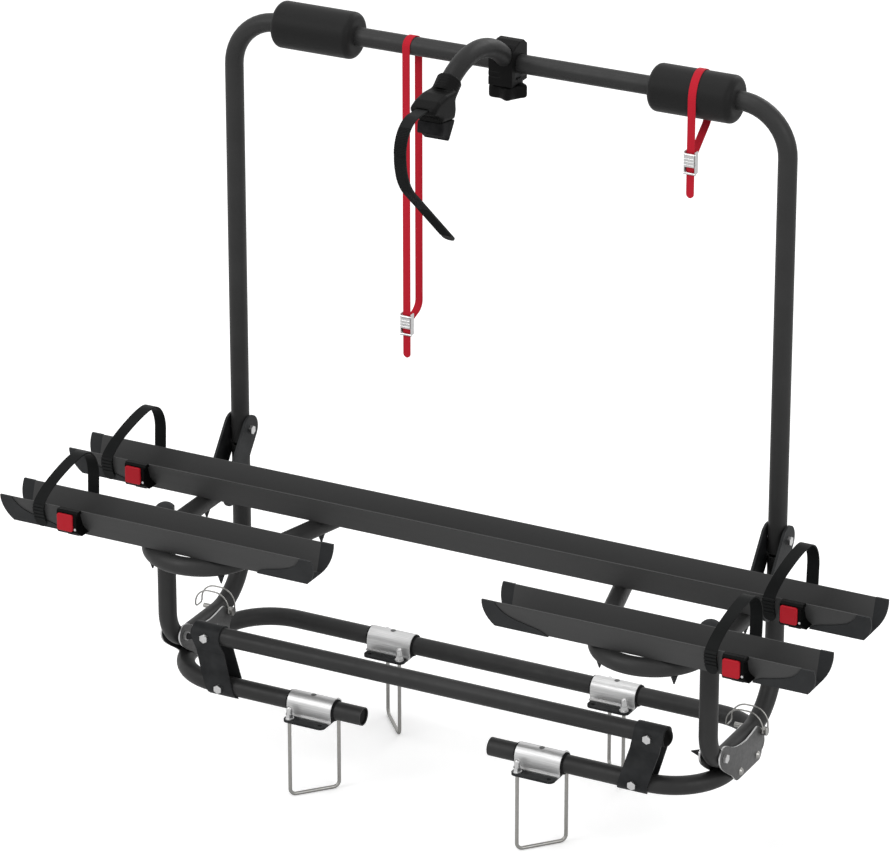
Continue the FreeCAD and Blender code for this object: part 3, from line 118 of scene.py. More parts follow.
def add_node(tree: Tree, kind: str, settings: dict | None = None, links: dict | None = None) -> Node:
    """Add a node with its settings and incoming links.

    Args:
        tree: Node tree of a material or the world.
        kind: Type name of the node.
        settings: Values by input name, or by property name where the node has no such input.
        links: Output sockets by the name or number of the input that they feed.

    Returns:
        The new node.
    """
    node = tree.nodes.new(kind)
    for name, value in (settings or {}).items():
        if isinstance(name, int) or name in node.inputs:
            node.inputs[name].default_value = value
        else:
            setattr(node, name, value)
    for name, socket in (links or {}).items():
        tree.links.new(socket, node.inputs[name])
    return node


class Pattern(Enum):
    """What a finish's fine structure follows."""

    OBJECT = "Object"
    UV = "UV"


@dataclass(frozen=True)
class Finish(ABC):
    """A surface finish with its shader settings.

    Attributes:
        name: Plain name of the material and how its surface was made.
        colour: Its sRGB colour.
        roughness: Mean roughness.
        specular: Specular level of the shader, a half for a plain glossy coat.
    """

    name: str
    colour: str
    roughness: float
    specular: float

    def material(self) -> Material:
        """Build the Blender material.

        Returns:
            A new material with this finish's nodes.
        """
        material = bpy.data.materials.new(self.name)
        material.use_nodes = True
        tree = material.node_tree
        tree.nodes.clear()
        settings = {"Base Color": linear(self.colour), "Roughness": self.roughness,
                    "Specular IOR Level": self.specular}
        shader = add_node(tree, "ShaderNodeBsdfPrincipled", settings)
        add_node(tree, "ShaderNodeOutputMaterial", links={"Surface": shader.outputs["BSDF"]})
        self.dress(tree, shader)
        return material

    @abstractmethod
    def dress(self, tree: Tree, shader: Node) -> None:
        """Add the finish's own nodes and values.

        Args:
            tree: Node tree of the material.
            shader: Its Principled BSDF.
        """

    def noise(self, tree: Tree, size: float, stretch: tuple[float, float, float] = (1, 1, 1),
              detail: float = 3.0) -> Socket:
        """Noise whose features have a size in millimetres.

        Args:
            tree: Node tree of the material.
            size: Feature size in millimetres.
            stretch: Factors on the coordinates, under one where the pattern is drawn out.
            detail: Octaves of finer noise.

        Returns:
            The noise's value, around a half.
        """
        coords = add_node(tree, "ShaderNodeTexCoord").outputs[Pattern.OBJECT.value]
        mapping = add_node(tree, "ShaderNodeMapping", {"Scale": stretch}, {"Vector": coords})
        settings = {"Scale": per_mm(size), "Detail": detail}
        return add_node(tree, "ShaderNodeTexNoise", settings, {"Vector": mapping.outputs[0]}).outputs[0]

    def spread(self, tree: Tree, value: Socket, low: float, high: float) -> Socket:
        """Spread a noise value over a range.

        Args:
            tree: Node tree of the material.
            value: Noise value around a half.
            low: Result where the noise is low.
            high: Result where the noise is high.

        Returns:
            The spread value.
        """
        settings = {"From Min": NOISE_LOW, "From Max": NOISE_HIGH, "To Min": low, "To Max": high}
        return add_node(tree, "ShaderNodeMapRange", settings, {"Value": value}).outputs[0]

    def tint(self, tree: Tree, shader: Node, value: Socket, other: str) -> None:
        """Vary the base colour between the finish's own and another.

        Args:
            tree: Node tree of the material.
            shader: Its Principled BSDF.
            value: Share of the other colour.
            other: The other sRGB colour.
        """
        settings = {"data_type": "RGBA", 6: linear(self.colour), 7: linear(other)}
        mix = add_node(tree, "ShaderNodeMix", settings, {0: value})
        tree.links.new(mix.outputs[2], shader.inputs["Base Color"])

    def gloss(self, tree: Tree, shader: Node, value: Socket, below: float, above: float) -> None:
        """Vary the roughness around the finish's own.

        Args:
            tree: Node tree of the material.
            shader: Its Principled BSDF.
            value: Noise value around a half.
            below: How far the roughness goes under the mean.
            above: How far it goes over the mean.
        """
        rough = self.spread(tree, value, self.roughness - below, self.roughness + above)
        tree.links.new(rough, shader.inputs["Roughness"])

    def bump(self, tree: Tree, shader: Node, height: Socket, depth: float, strength: float) -> None:
        """Raise the surface by a height pattern.

        Args:
            tree: Node tree of the material.
            shader: Its Principled BSDF.
            height: Pattern from nought to one.
            depth: Height of the pattern in millimetres.
            strength: Share of the effect.
        """
        settings = {"Distance": depth / 1000, "Strength": strength}
        bump = add_node(tree, "ShaderNodeBump", settings, {"Height": height})
        tree.links.new(bump.outputs[0], shader.inputs["Normal"])


@dataclass(frozen=True)
class AnodisedAluminium(Finish):
    """Blasted and black anodised aluminium: an even dark satin with a soft grey sheen.

    Attributes:
        draw: Stretch of the faint lines left by drawing or extruding.
        metallic: Share of metal in the dyed oxide layer's look.
        worn: Colour of slightly paler patches.
    """

    draw: tuple[float, float, float] = (1, 1, 1)
    metallic: float = 0.3
    worn: str = "#393939"

    def dress(self, tree: Tree, shader: Node) -> None:
        """Satin with fine blasting grain and faint cloudy patches."""
        shader.inputs["Metallic"].default_value = self.metallic
        cloud = self.noise(tree, size=60.0, stretch=self.draw)
        self.tint(tree, shader, self.spread(tree, cloud, low=0.0, high=0.6), self.worn)
        satin = self.noise(tree, size=9.0, stretch=self.draw, detail=4.0)
        self.gloss(tree, shader, satin, below=0.05, above=0.05)
        # Real blasting grain is about 0.1 mm and would not show, so it is drawn at 0.9 mm.
        grain = self.noise(tree, size=0.9, stretch=self.draw, detail=2.0)
        self.bump(tree, shader, grain, depth=0.05, strength=0.35)


@dataclass(frozen=True)
class BrushedAluminium(Finish):
    """Bare aluminium brushed along its length: bright, with fine streaks.

    Attributes:
        streaked: Colour of the darker streaks.
    """

    streaked: str = "#c2c2c2"

    def dress(self, tree: Tree, shader: Node) -> None:
        """Metal with long thin streaks in tone, gloss and height."""
        shader.inputs["Metallic"].default_value = 1.0
        shader.inputs["Anisotropic"].default_value = 0.5
        streak = self.noise(tree, size=1.6, stretch=(0.02, 1, 1), detail=4.0)
        self.tint(tree, shader, self.spread(tree, streak, low=0.0, high=1.0), self.streaked)
        self.gloss(tree, shader, streak, below=0.06, above=0.08)
        self.bump(tree, shader, streak, depth=0.03, strength=0.5)


@dataclass(frozen=True)
class ZincPlate(Finish):
    """Zinc plated steel: grey metal with faint crystalline clouds.

    Attributes:
        dull: Colour of the duller clouds.
    """

    dull: str = "#585858"

    def dress(self, tree: Tree, shader: Node) -> None:
        """Metal with small clouds in tone and gloss."""
        shader.inputs["Metallic"].default_value = 1.0
        cloud = self.noise(tree, size=5.0, detail=4.0)
        self.tint(tree, shader, self.spread(tree, cloud, low=0.0, high=0.7), self.dull)
        self.gloss(tree, shader, cloud, below=0.03, above=0.04)
        self.bump(tree, shader, self.noise(tree, size=1.2), depth=0.015, strength=0.25)


@dataclass(frozen=True)
class PowderCoat(Finish):
    """Black polyester powder coat on sheet steel: semi matt with a fine orange peel.

    Attributes:
        dusty: Colour of slightly paler areas.
    """

    dusty: str = "#3a3b3c"

    def dress(self, tree: Tree, shader: Node) -> None:
        """Dark coat with a shallow peel about 2 mm across."""
        shader.inputs["IOR"].default_value = 1.5
        peel = self.noise(tree, size=2.0, detail=1.0)
        dust = self.noise(tree, size=30.0)
        self.tint(tree, shader, self.spread(tree, dust, low=0.0, high=0.5), self.dusty)
        self.gloss(tree, shader, peel, below=0.04, above=0.05)
        self.bump(tree, shader, peel, depth=0.06, strength=0.5)


@dataclass(frozen=True)
class MouldedPlastic(Finish):
    """Injection moulded plastic with a spark eroded grain.

    Attributes:
        grain: Size of the grain in millimetres.
        pale: Colour of slightly scuffed areas.
    """

    grain: float = 1.1
    pale: str = "#303132"

    def dress(self, tree: Tree, shader: Node) -> None:
        """Even plastic with a fine leathery grain and faint scuffs."""
        shader.inputs["IOR"].default_value = 1.49
        scuffs = self.noise(tree, size=25.0, detail=5.0)
        self.tint(tree, shader, self.spread(tree, scuffs, low=0.0, high=0.6), self.pale)
        grain = self.noise(tree, size=self.grain, detail=2.0)
        self.gloss(tree, shader, grain, below=0.05, above=0.06)
        self.bump(tree, shader, grain, depth=0.05, strength=0.45)


@dataclass(frozen=True)
class MouldedRubber(Finish):
    """Moulded EPDM rubber: deep matt black.

    Attributes:
        bloom: Colour of the faint bloom on it.
    """

    bloom: str = "#29292a"

    def dress(self, tree: Tree, shader: Node) -> None:
        """Matt with soft mottling."""
        shader.inputs["IOR"].default_value = 1.52
        mottle = self.noise(tree, size=12.0, detail=4.0)
        self.tint(tree, shader, self.spread(tree, mottle, low=0.0, high=0.7), self.bloom)
        self.bump(tree, shader, self.noise(tree, size=0.8), depth=0.05, strength=0.5)


@dataclass(frozen=True)
class CellFoam(Finish):
    """Closed cell nitrile foam with its moulding skin: soft black with fine pores.

    Attributes:
        pale: Colour between the pores.
    """

    pale: str = "#222222"

    def dress(self, tree: Tree, shader: Node) -> None:
        """Even skin with pores near 1 mm and a broad soft gleam."""
        shader.inputs["IOR"].default_value = 1.5
        shader.inputs["Sheen Weight"].default_value = 0.04
        shader.inputs["Sheen Roughness"].default_value = 0.6
        pores = self.noise(tree, size=1.3, detail=3.0)
        self.tint(tree, shader, self.spread(tree, pores, low=0.0, high=0.5), self.pale)
        self.gloss(tree, shader, pores, below=0.06, above=0.06)
        self.bump(tree, shader, pores, depth=0.08, strength=0.3)


@dataclass(frozen=True)
class PolyesterWebbing(Finish):
    """Woven polyester webbing: a twill of red threads with a soft sheen.

    Attributes:
        thread: Thread spacing in millimetres.
        shade: Colour between the threads.
        twill: Angle of the ribs to the webbing, either way, in radians.
    """

    thread: float = 1.0
    shade: str = "#a01826"
    twill: float = 0.7

    def dress(self, tree: Tree, shader: Node) -> None:
        """Diagonal ribs of the weave, drawn a little coarser than real so that they show."""
        shader.inputs["Sheen Weight"].default_value = 0.08
        shader.inputs["Sheen Roughness"].default_value = 0.4
        coords = add_node(tree, "ShaderNodeTexCoord").outputs[Pattern.UV.value]
        # A wave texture has 3.2 ribs to a unit at scale one, so this gives one rib to every two threads.
        settings = {"Scale": per_mm(self.thread) / 6.4, "Distortion": 0.4, "Detail": 1.0}
        ribs = []
        for turn in (self.twill, -self.twill):
            mapping = add_node(tree, "ShaderNodeMapping", {"Rotation": (0, 0, turn)}, {"Vector": coords})
            wave = add_node(tree, "ShaderNodeTexWave", settings, {"Vector": mapping.outputs[0]})
            ribs.append(wave.outputs[1])
        weave = add_node(tree, "ShaderNodeMath", {"operation": "MULTIPLY"}, dict(enumerate(ribs))).outputs[0]
        depth = {"From Max": 0.6, "To Min": 0.3, "To Max": 0.0}
        shadow = add_node(tree, "ShaderNodeMapRange", depth, {"Value": weave}).outputs[0]
        self.tint(tree, shader, shadow, self.shade)
        self.bump(tree, shader, weave, depth=0.2, strength=0.4)


class Palette:
    """Materials of the rack, one for each finish."""

    def __init__(self) -> None:
        """Build every finish once. The numbers are roughness and specular level."""
        extruded = (0.03, 1, 1)
        self.tube = AnodisedAluminium("anodised_tube", "#323232", 0.46, 0.15).material()
        self.rail = AnodisedAluminium("anodised_extrusion", "#424242", 0.54, 0.12,
                                      draw=extruded, metallic=0.15, worn="#484848").material()
        self.arm = AnodisedAluminium("black_anodised_arm", "#252525", 0.48, 0.12,
                                     metallic=0.25, worn="#2b2b2b").material()
        self.shell = BrushedAluminium("brushed_aluminium", "#d2d2d2", 0.46, 0.5).material()
        self.zinc = ZincPlate("zinc_plated_sheet", "#606060", 0.50, 0.5).material()
        self.wire = ZincPlate("zinc_plated_wire", "#a09f9c", 0.32, 0.5, dull="#93928f").material()
        self.bright = ZincPlate("bright_zinc_fastener", "#cacaca", 0.32, 0.5, dull="#bcbcbc").material()
        self.powder = PowderCoat("powder_coated_sheet", "#1e1f20", 0.48, 0.10).material()
        self.plastic = MouldedPlastic("moulded_polyamide", "#2b2c2d", 0.52, 0.08, pale="#333435").material()
        self.knob = MouldedPlastic("moulded_black_polyamide", "#0e0e0e", 0.46, 0.06,
                                   grain=1.4, pale="#141414").material()
        self.buckle = MouldedPlastic("moulded_glass_filled_polyamide", "#080808", 0.44, 0.05,
                                     grain=1.2, pale="#0d0d0d").material()
        self.strap = MouldedPlastic("moulded_polyurethane", "#1a1b1b", 0.50, 0.05,
                                    grain=0.9, pale="#202121").material()
        self.red = MouldedPlastic("red_moulded_abs", "#a81824", 0.36, 0.12,
                                  grain=0.9, pale="#b01f2c").material()
        self.rubber = MouldedRubber("moulded_rubber", "#151516", 0.70, 0.06).material()
        self.foam = CellFoam("nitrile_foam", "#181818", 0.50, 0.09).material()
        self.webbing = PolyesterWebbing("polyester_webbing", "#ba2231", 0.66, 0.06).material()


@dataclass(frozen=True)
class Station:
    """One cross-section of a band.

    Attributes:
        centre: Middle of the section.
        normal: Direction of the band's outer side.
        along: Distance from the band's start.
        width: Width of the section.
        thickness: Thickness of the section.
        raised: Height of a tooth on the outer side.
    """

    centre: Vector
    normal: Vector
    along: float
    width: float
    thickness: float
    raised: float = 0.0

    def matrix(self) -> Matrix:
        """Transform from a unit square in XY to the section, with the band's width along X."""
        across = Vector(ALONG_X)
        total = self.thickness + self.raised
        middle = self.centre + self.normal * (self.raised / 2)
        ahead = across.cross(self.normal)
        columns = (across * self.width, self.normal * total, ahead)
        result = Matrix.Identity(4)
        for index, column in enumerate(columns):
            result.col[index] = (*column, 0.0)
        result.col[3] = (*middle, 1.0)
        return result


def finish_object(mesh: BMesh, name: str, material: Material, smooth: float = 40.0) -> Piece:
    """Turn a bmesh into an object at the origin, with its material.

    Args:
        mesh: Mesh with its place in its vertices. It is freed.
        name: Name of the piece.
        material: Material of every face.
        smooth: Largest angle between faces that are shaded as one surface.

    Returns:
        The new object.
    """
    data = bpy.data.meshes.new(name)
    mesh.to_mesh(data)
    mesh.free()
    data.materials.append(material)
    data.shade_smooth()
    data.set_sharp_from_angle(angle=math.radians(smooth))
    piece = bpy.data.objects.new(name, data)
    bpy.context.scene.collection.objects.link(piece)
    return piece


def turned(mesh: BMesh, section: list[Vector], centre: Vector, steps: int) -> None:
    """Turn a closed half section round an axis along X.

    Args:
        mesh: Mesh to add to.
        section: Points of the half section in one plane through the axis.
        centre: A point on the axis.
        steps: Faces round the shape.
    """
    verts = [mesh.verts.new(point) for point in section]
    edges = [mesh.edges.new(pair) for pair in zip(verts, verts[1:] + verts[:1])]
    bmesh.ops.spin(mesh, geom=verts + edges, cent=centre, axis=ALONG_X, angle=math.tau, steps=steps,
                   use_merge=True)


def add_rod(mesh: BMesh, radius: float, length: float, segments: int, place: Matrix) -> None:
    """Add a closed cylinder that stands along its own Z.

    Args:
        mesh: Mesh to add to.
        radius: Radius of the cylinder.
        length: Its length.
        segments: Faces round it.
        place: Transform of its middle.
    """
    bmesh.ops.create_cone(mesh, cap_ends=True, segments=segments, radius1=radius, radius2=radius,
                          depth=length, matrix=place)


def round_edges(mesh: BMesh, edges: list[bmesh.types.BMEdge], width: float, segments: int) -> None:
    """Round some edges of a mesh.

    Args:
        mesh: Mesh that has them.
        edges: Edges to round.
        width: How far the rounding reaches on each side.
        segments: Steps across it.
    """
    bmesh.ops.bevel(mesh, geom=edges, offset=width, segments=segments, profile=0.5, affect="EDGES",
                    material=-1)


def sharp_edges(mesh: BMesh, angle: float = 1.0) -> list[bmesh.types.BMEdge]:
    """Edges between two faces that meet at more than an angle in radians."""
    return [edge for edge in mesh.edges if len(edge.link_faces) == 2 and edge.calc_face_angle() > angle]


def band(stations: list[Station], name: str, material: Material) -> Piece:
    """Extrude a band through its stations, with a UV map in metres along and across it.

    Args:
        stations: Sections from the band's start to its end.
        name: Name of the piece.
        material: Material of the band.

    Returns:
        The band as an object.
    """
    mesh = bmesh.new()
    along = mesh.verts.layers.float.new("along")
    across = mesh.verts.layers.float.new("across")
    bmesh.ops.create_grid(mesh, x_segments=1, y_segments=1, size=0.5)
    face = mesh.faces[:][0]
    for vert in mesh.verts:
        vert[across] = vert.co.x
        vert[along] = stations[0].along
    place = stations[0].matrix()
    bmesh.ops.transform(mesh, matrix=place, verts=mesh.verts[:])
    for station in stations[1:]:
        last = face
        raised = bmesh.ops.extrude_face_region(mesh, geom=[last], use_keep_orig=True)
        face = next(item for item in raised["geom"] if isinstance(item, BMFace))
        # Only the first section closes the band's end. The later ones would stay inside it.
        if station is not stations[1]:
            mesh.faces.remove(last)
        target = station.matrix()
        bmesh.ops.transform(mesh, matrix=target @ place.inverted(), verts=face.verts[:])
        for vert in face.verts:
            vert[along] = station.along
        place = target
    bmesh.ops.recalc_face_normals(mesh, faces=mesh.faces[:])
    uv = mesh.loops.layers.uv.new("UVMap")
    width = stations[0].width
    for item in mesh.faces:
        for loop in item.loops:
            loop[uv].uv = (loop.vert[along], loop.vert[across] * width)
    return finish_object(mesh, name, material)


def rounded_route(points: list[Vector], radii: list[float], step: float) -> list[Vector]:
    """Points along straight runs joined by tangent arcs.

    Args:
        points: Corners of the route, with its two ends.
        radii: Radius at each inner corner.
        step: Longest distance between points on an arc.

    Returns:
        Points along the route.
    """
    route = [points[0].copy()]
    for before, corner, after, radius in zip(points, points[1:], points[2:], radii):
        inward = (before - corner).normalized()
        outward = (after - corner).normalized()
        half = inward.angle(outward) / 2
        turn = math.pi - 2 * half
        centre = corner + (inward + outward).normalized() * (radius / math.sin(half))
        first = corner + inward * (radius / math.tan(half)) - centre
        axis = first.cross(corner + outward * (radius / math.tan(half)) - centre).normalized()
        count = max(2, math.ceil(radius * turn / step))
        route += [centre + Matrix.Rotation(turn * i / count, 3, axis) @ first for i in range(count + 1)]
    route.append(points[-1].copy())
    return route


def divided(route: list[Vector], step: float) -> list[Vector]:
    """Divide the long runs of a route so that no two points lie further apart than a step."""
    result = [route[0]]
    for start, end in zip(route, route[1:]):
        count = max(1, math.ceil((end - start).length / step))
        result += [start.lerp(end, (i + 1) / count) for i in range(count)]
    return result


def spaced(route: list[Vector], least: float) -> list[Vector]:
    """Route without the points that lie nearer to the one before than a least distance."""
    result = [route[0]]
    for point in route[1:]:
        if (point - result[-1]).length > least:
            result.append(point)
    return result


@dataclass(frozen=True)
class Teeth:
    """Row of teeth across a band.

    Attributes:
        start: Distance along the band at which they start.
        end: Distance along the band at which they end.
        pitch: Distance between teeth.
        height: Height of a tooth.
        share: Share of the pitch that a tooth takes.
    """

    start: float
    end: float
    pitch: float
    height: float
    share: float

    def raised(self, along: float) -> float:
        """Height above the band's plain side at a distance along it."""
        if not self.start < along < self.end:
            return 0.0
        return self.height if (along - self.start) / self.pitch % 1.0 < self.share else 0.0


def stations_along(route: list[Vector], width: float, thickness: float,
                   teeth: Teeth | None = None) -> list[Station]:
    """Sections of a band with a rounded first end that follows a route in planes of constant X.

    Args:
        route: Points along the band's middle.
        width: Width of the band.
        thickness: Thickness of the band.
        teeth: Teeth on its outer side.

    Returns:
        The sections, each square to the route.
    """
    narrowest = 0.25
    result = []
    along = 0.0
    for index, point in enumerate(route):
        before = route[max(index - 1, 0)]
        after = route[min(index + 1, len(route) - 1)]
        if index:
            along += (point - before).length
        ahead = after - before
        ahead.x = 0.0
        normal = Vector(ALONG_X).cross(ahead.normalized())
        share = 1.0
        if along < width / 2:
            share = max(narrowest, math.sqrt(1 - (1 - along / (width / 2)) ** 2))
        raised = teeth.raised(along) if teeth else 0.0
        result.append(Station(point, normal, along, width * share, thickness, raised))
    return result


@dataclass
class FoamSleeves:
    """Thick foam sleeves on the top tube.

    Attributes:
        centre_x: Distance of each sleeve's middle from the rack's middle.
        length: Length of a sleeve.
        radius: Outer radius of a sleeve.
        edge: Radius of its rounded ends.
        arc_step: Longest distance between points on the rounded ends.
        run_step: Longest distance between points on the straight runs.
        steps: Faces round a sleeve.
    """

    centre_x: float = 0.326
    length: float = 0.140
    radius: float = 0.0375
    edge: float = 0.011
    arc_step: float = 0.0012
    run_step: float = 0.004
    steps: int = 96

    def outline(self, middle: float) -> list[Vector]:
        """Half section of a sleeve, from one end of its bore round the outside to the other end.

        Args:
            middle: X of the sleeve's middle.

        Returns:
            Points in the plane through the tube's axis.
        """
        half = self.length / 2
        corners = [Vector((x, 0, r)) for x, r in ((-half, TUBE_RADIUS), (-half, self.radius),
                                                  (half, self.radius), (half, TUBE_RADIUS))]
        side = divided(rounded_route(corners, [self.edge, self.edge], self.arc_step), self.run_step)
        return [point + Vector((middle, HOOP_Y, HOOP_TOP)) for point in side]

    def build(self, palette: Palette) -> list[Piece]:
        """Build both sleeves.

        Args:
            palette: Materials of the rack.

        Returns:
            The two sleeves.
        """
        pieces = []
        for name, side in (("left", -1), ("right", 1)):
            mesh = bmesh.new()
            turned(mesh, self.outline(side * self.centre_x), Vector((0, HOOP_Y, HOOP_TOP)), self.steps)
            bmesh.ops.remove_doubles(mesh, verts=mesh.verts[:], dist=MERGE)
            bmesh.ops.recalc_face_normals(mesh, faces=mesh.faces[:])
            piece = finish_object(mesh, "foam_sleeve_" + name, palette.foam, smooth=50.0)
            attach(piece, "upper_hoop_frame")
            pieces.append(piece)
        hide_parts("foam_grips")
        return pieces


@dataclass(frozen=True)
class StrapPlace:
    """Where the wheel straps of one side run.

    Attributes:
        near_x: X of a strap's foot at the near wall.
        lean: How far a strap moves along the channel on its way over.
        apex: Height of the arch above the channel's underside.
    """

    near_x: float
    lean: float
    apex: float


@dataclass
class WheelStraps:
    """Toothed straps that hold the wheels down, each leaning along its channel.

    Attributes:
        places: Place of the straps on each side.
        channels: Y of each row's channel.
        width: Width of a strap.
        thickness: Thickness of a strap.
        gap: From the channel's wall to the strap's middle.
        floor_z: Height of the channel's underside.
        floor_half: Half the width of the channel's underside.
        rim_half: Half the width between the channel's rims.
        channel_height: Height of the channel's walls.
        shoulder: Height above the underside at which the arch starts.
        bulge: How far the arch stands out past the legs.
        foot: Height of the end inside the buckle above the underside.
        lean_start: Share of the way over at which the lean starts.
        lean_span: Share of the way over in which the lean is made.
        lead: How far the end inside the buckle leans outwards.
        teeth: Teeth of the stretch that goes through the buckle.
        arch_steps: Steps over the arch.
        step: Longest distance between sections over the wheel, fine enough for the teeth.
        floor_step: Longest distance between sections under the channel.
    """

    places: dict[str, StrapPlace] = field(default_factory=lambda: {
        "left": StrapPlace(near_x=-0.645, lean=0.058, apex=0.128),
        "right": StrapPlace(near_x=0.531, lean=0.041, apex=0.124)})
    channels: dict[str, float] = field(default_factory=lambda: {"rear": 0.0105, "front": -0.2005})
    width: float = 0.020
    thickness: float = 0.0024
    gap: float = 0.003
    floor_z: float = 0.2785
    floor_half: float = 0.0215
    rim_half: float = 0.0365
    channel_height: float = 0.046
    shoulder: float = 0.078
    bulge: float = 0.0015
    foot: float = 0.0075
    lean_start: float = 0.1
    lean_span: float = 0.5
    lead: float = 0.002
    teeth: Teeth = Teeth(start=0.014, end=0.0485, pitch=0.0072, height=0.0016, share=0.62)
    arch_steps: int = 48
    step: float = 0.0008
    floor_step: float = 0.004

    def shift(self, share: float) -> float:
        """Share of the lean that is made at a share of the way over.

        Args:
            share: Share of the way from the near foot to the far rim.

        Returns:
            Nought at the near foot and one at the far wall.
        """
        turn = min(max((share - self.lean_start) / self.lean_span, 0.0), 1.0)
        return turn * turn * (3 - 2 * turn)

    def route(self, place: StrapPlace, channel_y: float) -> list[Vector]:
        """Route from below the near wall, over the wheel and back under the floor.

        Args:
            place: Where the strap stands and how it leans.
            channel_y: Y of the channel's middle.

        Returns:
            Points along the strap's middle.
        """
        wide = self.rim_half + self.gap + self.bulge
        flat = [(-self.floor_half - self.gap, 0.0), (-self.rim_half - self.gap, self.channel_height)]
        rise = place.apex - self.shoulder
        for index in range(self.arch_steps + 1):
            angle = math.pi * index / self.arch_steps
            flat.append((-wide * math.cos(angle), self.shoulder + rise * math.sin(angle)))
        flat.append((self.rim_half + self.gap, self.channel_height))
        over = divided([Vector((0, channel_y + y, self.floor_z + z)) for y, z in flat], self.step)
        lengths = [0.0]
        for start, end in zip(over, over[1:]):
            lengths.append(lengths[-1] + (end - start).length)
        for point, length in zip(over, lengths):
            point.x = place.near_x + place.lean * self.shift(length / lengths[-1])
        end_x = place.near_x + place.lean
        near_y = channel_y - self.floor_half - self.gap
        back = [Vector((end_x, channel_y + self.floor_half + self.gap, self.floor_z - self.gap)),
                Vector((end_x, near_y, self.floor_z - self.gap)),
                Vector((end_x, near_y - self.lead, self.floor_z + self.foot))]
        return over + divided([over[-1]] + back, self.floor_step)[1:]

    def build(self, palette: Palette) -> list[Piece]:
        """Build the four straps.

        Args:
            palette: Materials of the rack.

        Returns:
            The straps.
        """
        pieces = []
        for row, channel_y in self.channels.items():
            for side, place in self.places.items():
                route = self.route(place, channel_y)
                stations = stations_along(route, self.width, self.thickness, self.teeth)
                piece = band(stations, f"toothed_strap_{row}_{side}", palette.strap)
                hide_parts(f"wheel_strap_{row}_{side}")
                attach(piece, "rail_carrier")
                pieces.append(piece)
        return pieces


@dataclass
class RatchetStrap:
    """Long toothed strap that curls out of the bike arm's head.

    Attributes:
        x: X of the strap's middle.
        nose_y: Y of the head's nose.
        z: Height of the slot.
        width: Width of the strap.
        thickness: Thickness of the strap.
        corners: Corners of its route about the slot, along Y and Z, from inside the head to the tail.
        radii: Radii of the two bends, from the tail.
        step: Longest distance between sections.
        teeth: Teeth along the tail.
    """

    x: float = 0.012
    nose_y: float = -0.171
    z: float = 1.069
    width: float = 0.020
    thickness: float = 0.0026
    corners: tuple[tuple[float, float], ...] = (
        (0.0257, 0.0), (-0.069, 0.0), (-0.069, -0.091), (0.094, -0.237))
    radii: tuple[float, float] = (0.090, 0.045)
    step: float = 0.0008
    teeth: Teeth = Teeth(start=0.02, end=0.30, pitch=0.0024, height=0.0009, share=0.5)

    def build(self, palette: Palette) -> Piece:
        """Build the strap with its rounded tail end.

        Args:
            palette: Materials of the rack.

        Returns:
            The strap.
        """
        points = [Vector((self.x, self.nose_y + y, self.z + z)) for y, z in reversed(self.corners)]
        route = divided(rounded_route(points, list(self.radii), self.step), self.step)
        stations = stations_along(route, self.width, self.thickness, self.teeth)
        piece = band(stations, "curled_ratchet_strap", palette.strap)
        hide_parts("ratchet_strap")
        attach(piece, "bike_arm")
        return piece


@dataclass
class WebbingLoop:
    """Red webbing looped over a round core and closed by a cam buckle.

    Attributes:
        node: CAD node that the webbing replaces.
        x: X of the front run's middle.
        skew: How far the back run lies further along the tube.
        core: Radius of what it goes over.
        drop: From the top tube's axis down to the buckle.
        tail: Length that hangs below the buckle.
        knee: Height above the buckle at which the back run turns towards it.
        width: Width of the webbing.
        thickness: Thickness of the webbing.
        layer: Distance between front and back run in the buckle, in thicknesses.
        entry: Height above the buckle's middle at which the back run goes in.
        inside: Length of the back run inside the buckle.
        knee_radius: Radius of the turn towards the buckle.
        entry_radius: Radius of the turn into it.
        edge: Rounding of the webbing's edges.
        arc_step: Longest distance between sections round a turn.
        run_step: Longest distance between sections on a straight run.
        least_step: Shortest distance between sections.
    """

    node: str
    x: float
    skew: float
    core: float
    drop: float
    tail: float
    knee: float
    width: float = 0.013
    thickness: float = 0.0016
    layer: float = 1.6
    entry: float = 0.004
    inside: float = 0.012
    knee_radius: float = 0.022
    entry_radius: float = 0.003
    edge: float = 0.0004
    arc_step: float = 0.0015
    run_step: float = 0.0025
    least_step: float = 0.0002

    def build(self, palette: Palette) -> Piece:
        """Build the loop from its tail end up, over the core and back down to the buckle.

        Args:
            palette: Materials of the rack.

        Returns:
            The webbing.
        """
        reach = self.core + self.thickness / 2
        front = HOOP_Y - reach
        back = HOOP_Y + reach
        low = HOOP_TOP - self.drop
        join_y = front + self.thickness * self.layer
        join_z = low + self.entry
        corners = [(front, low - self.tail), (front, HOOP_TOP + reach), (back, HOOP_TOP + reach),
                   (back, join_z + self.knee), (join_y, join_z), (join_y, join_z - self.inside)]
        points = [Vector((self.x, y, z)) for y, z in corners]
        # The two turns over the core would meet in one point, so they are a hair tighter than the core.
        # One of the two sections that then lie side by side is left out.
        over = reach * 0.999
        radii = [over, over, self.knee_radius, self.entry_radius]
        route = spaced(rounded_route(points, radii, self.arc_step), self.least_step)
        route = divided(route, self.run_step)
        for point in route:
            point.x += self.skew * (point.y - front) / (back - front)
        stations = stations_along(route, self.width, self.thickness)
        piece = band(stations, self.node + "_webbing", palette.webbing)
        bevel = piece.modifiers.new("edge", "BEVEL")
        bevel.width = self.edge
        bevel.segments = 2
        bevel.limit_method = "ANGLE"
        bevel.angle_limit = math.radians(50)
        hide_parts(self.node)
        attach(piece, "upper_hoop_frame")
        return piece


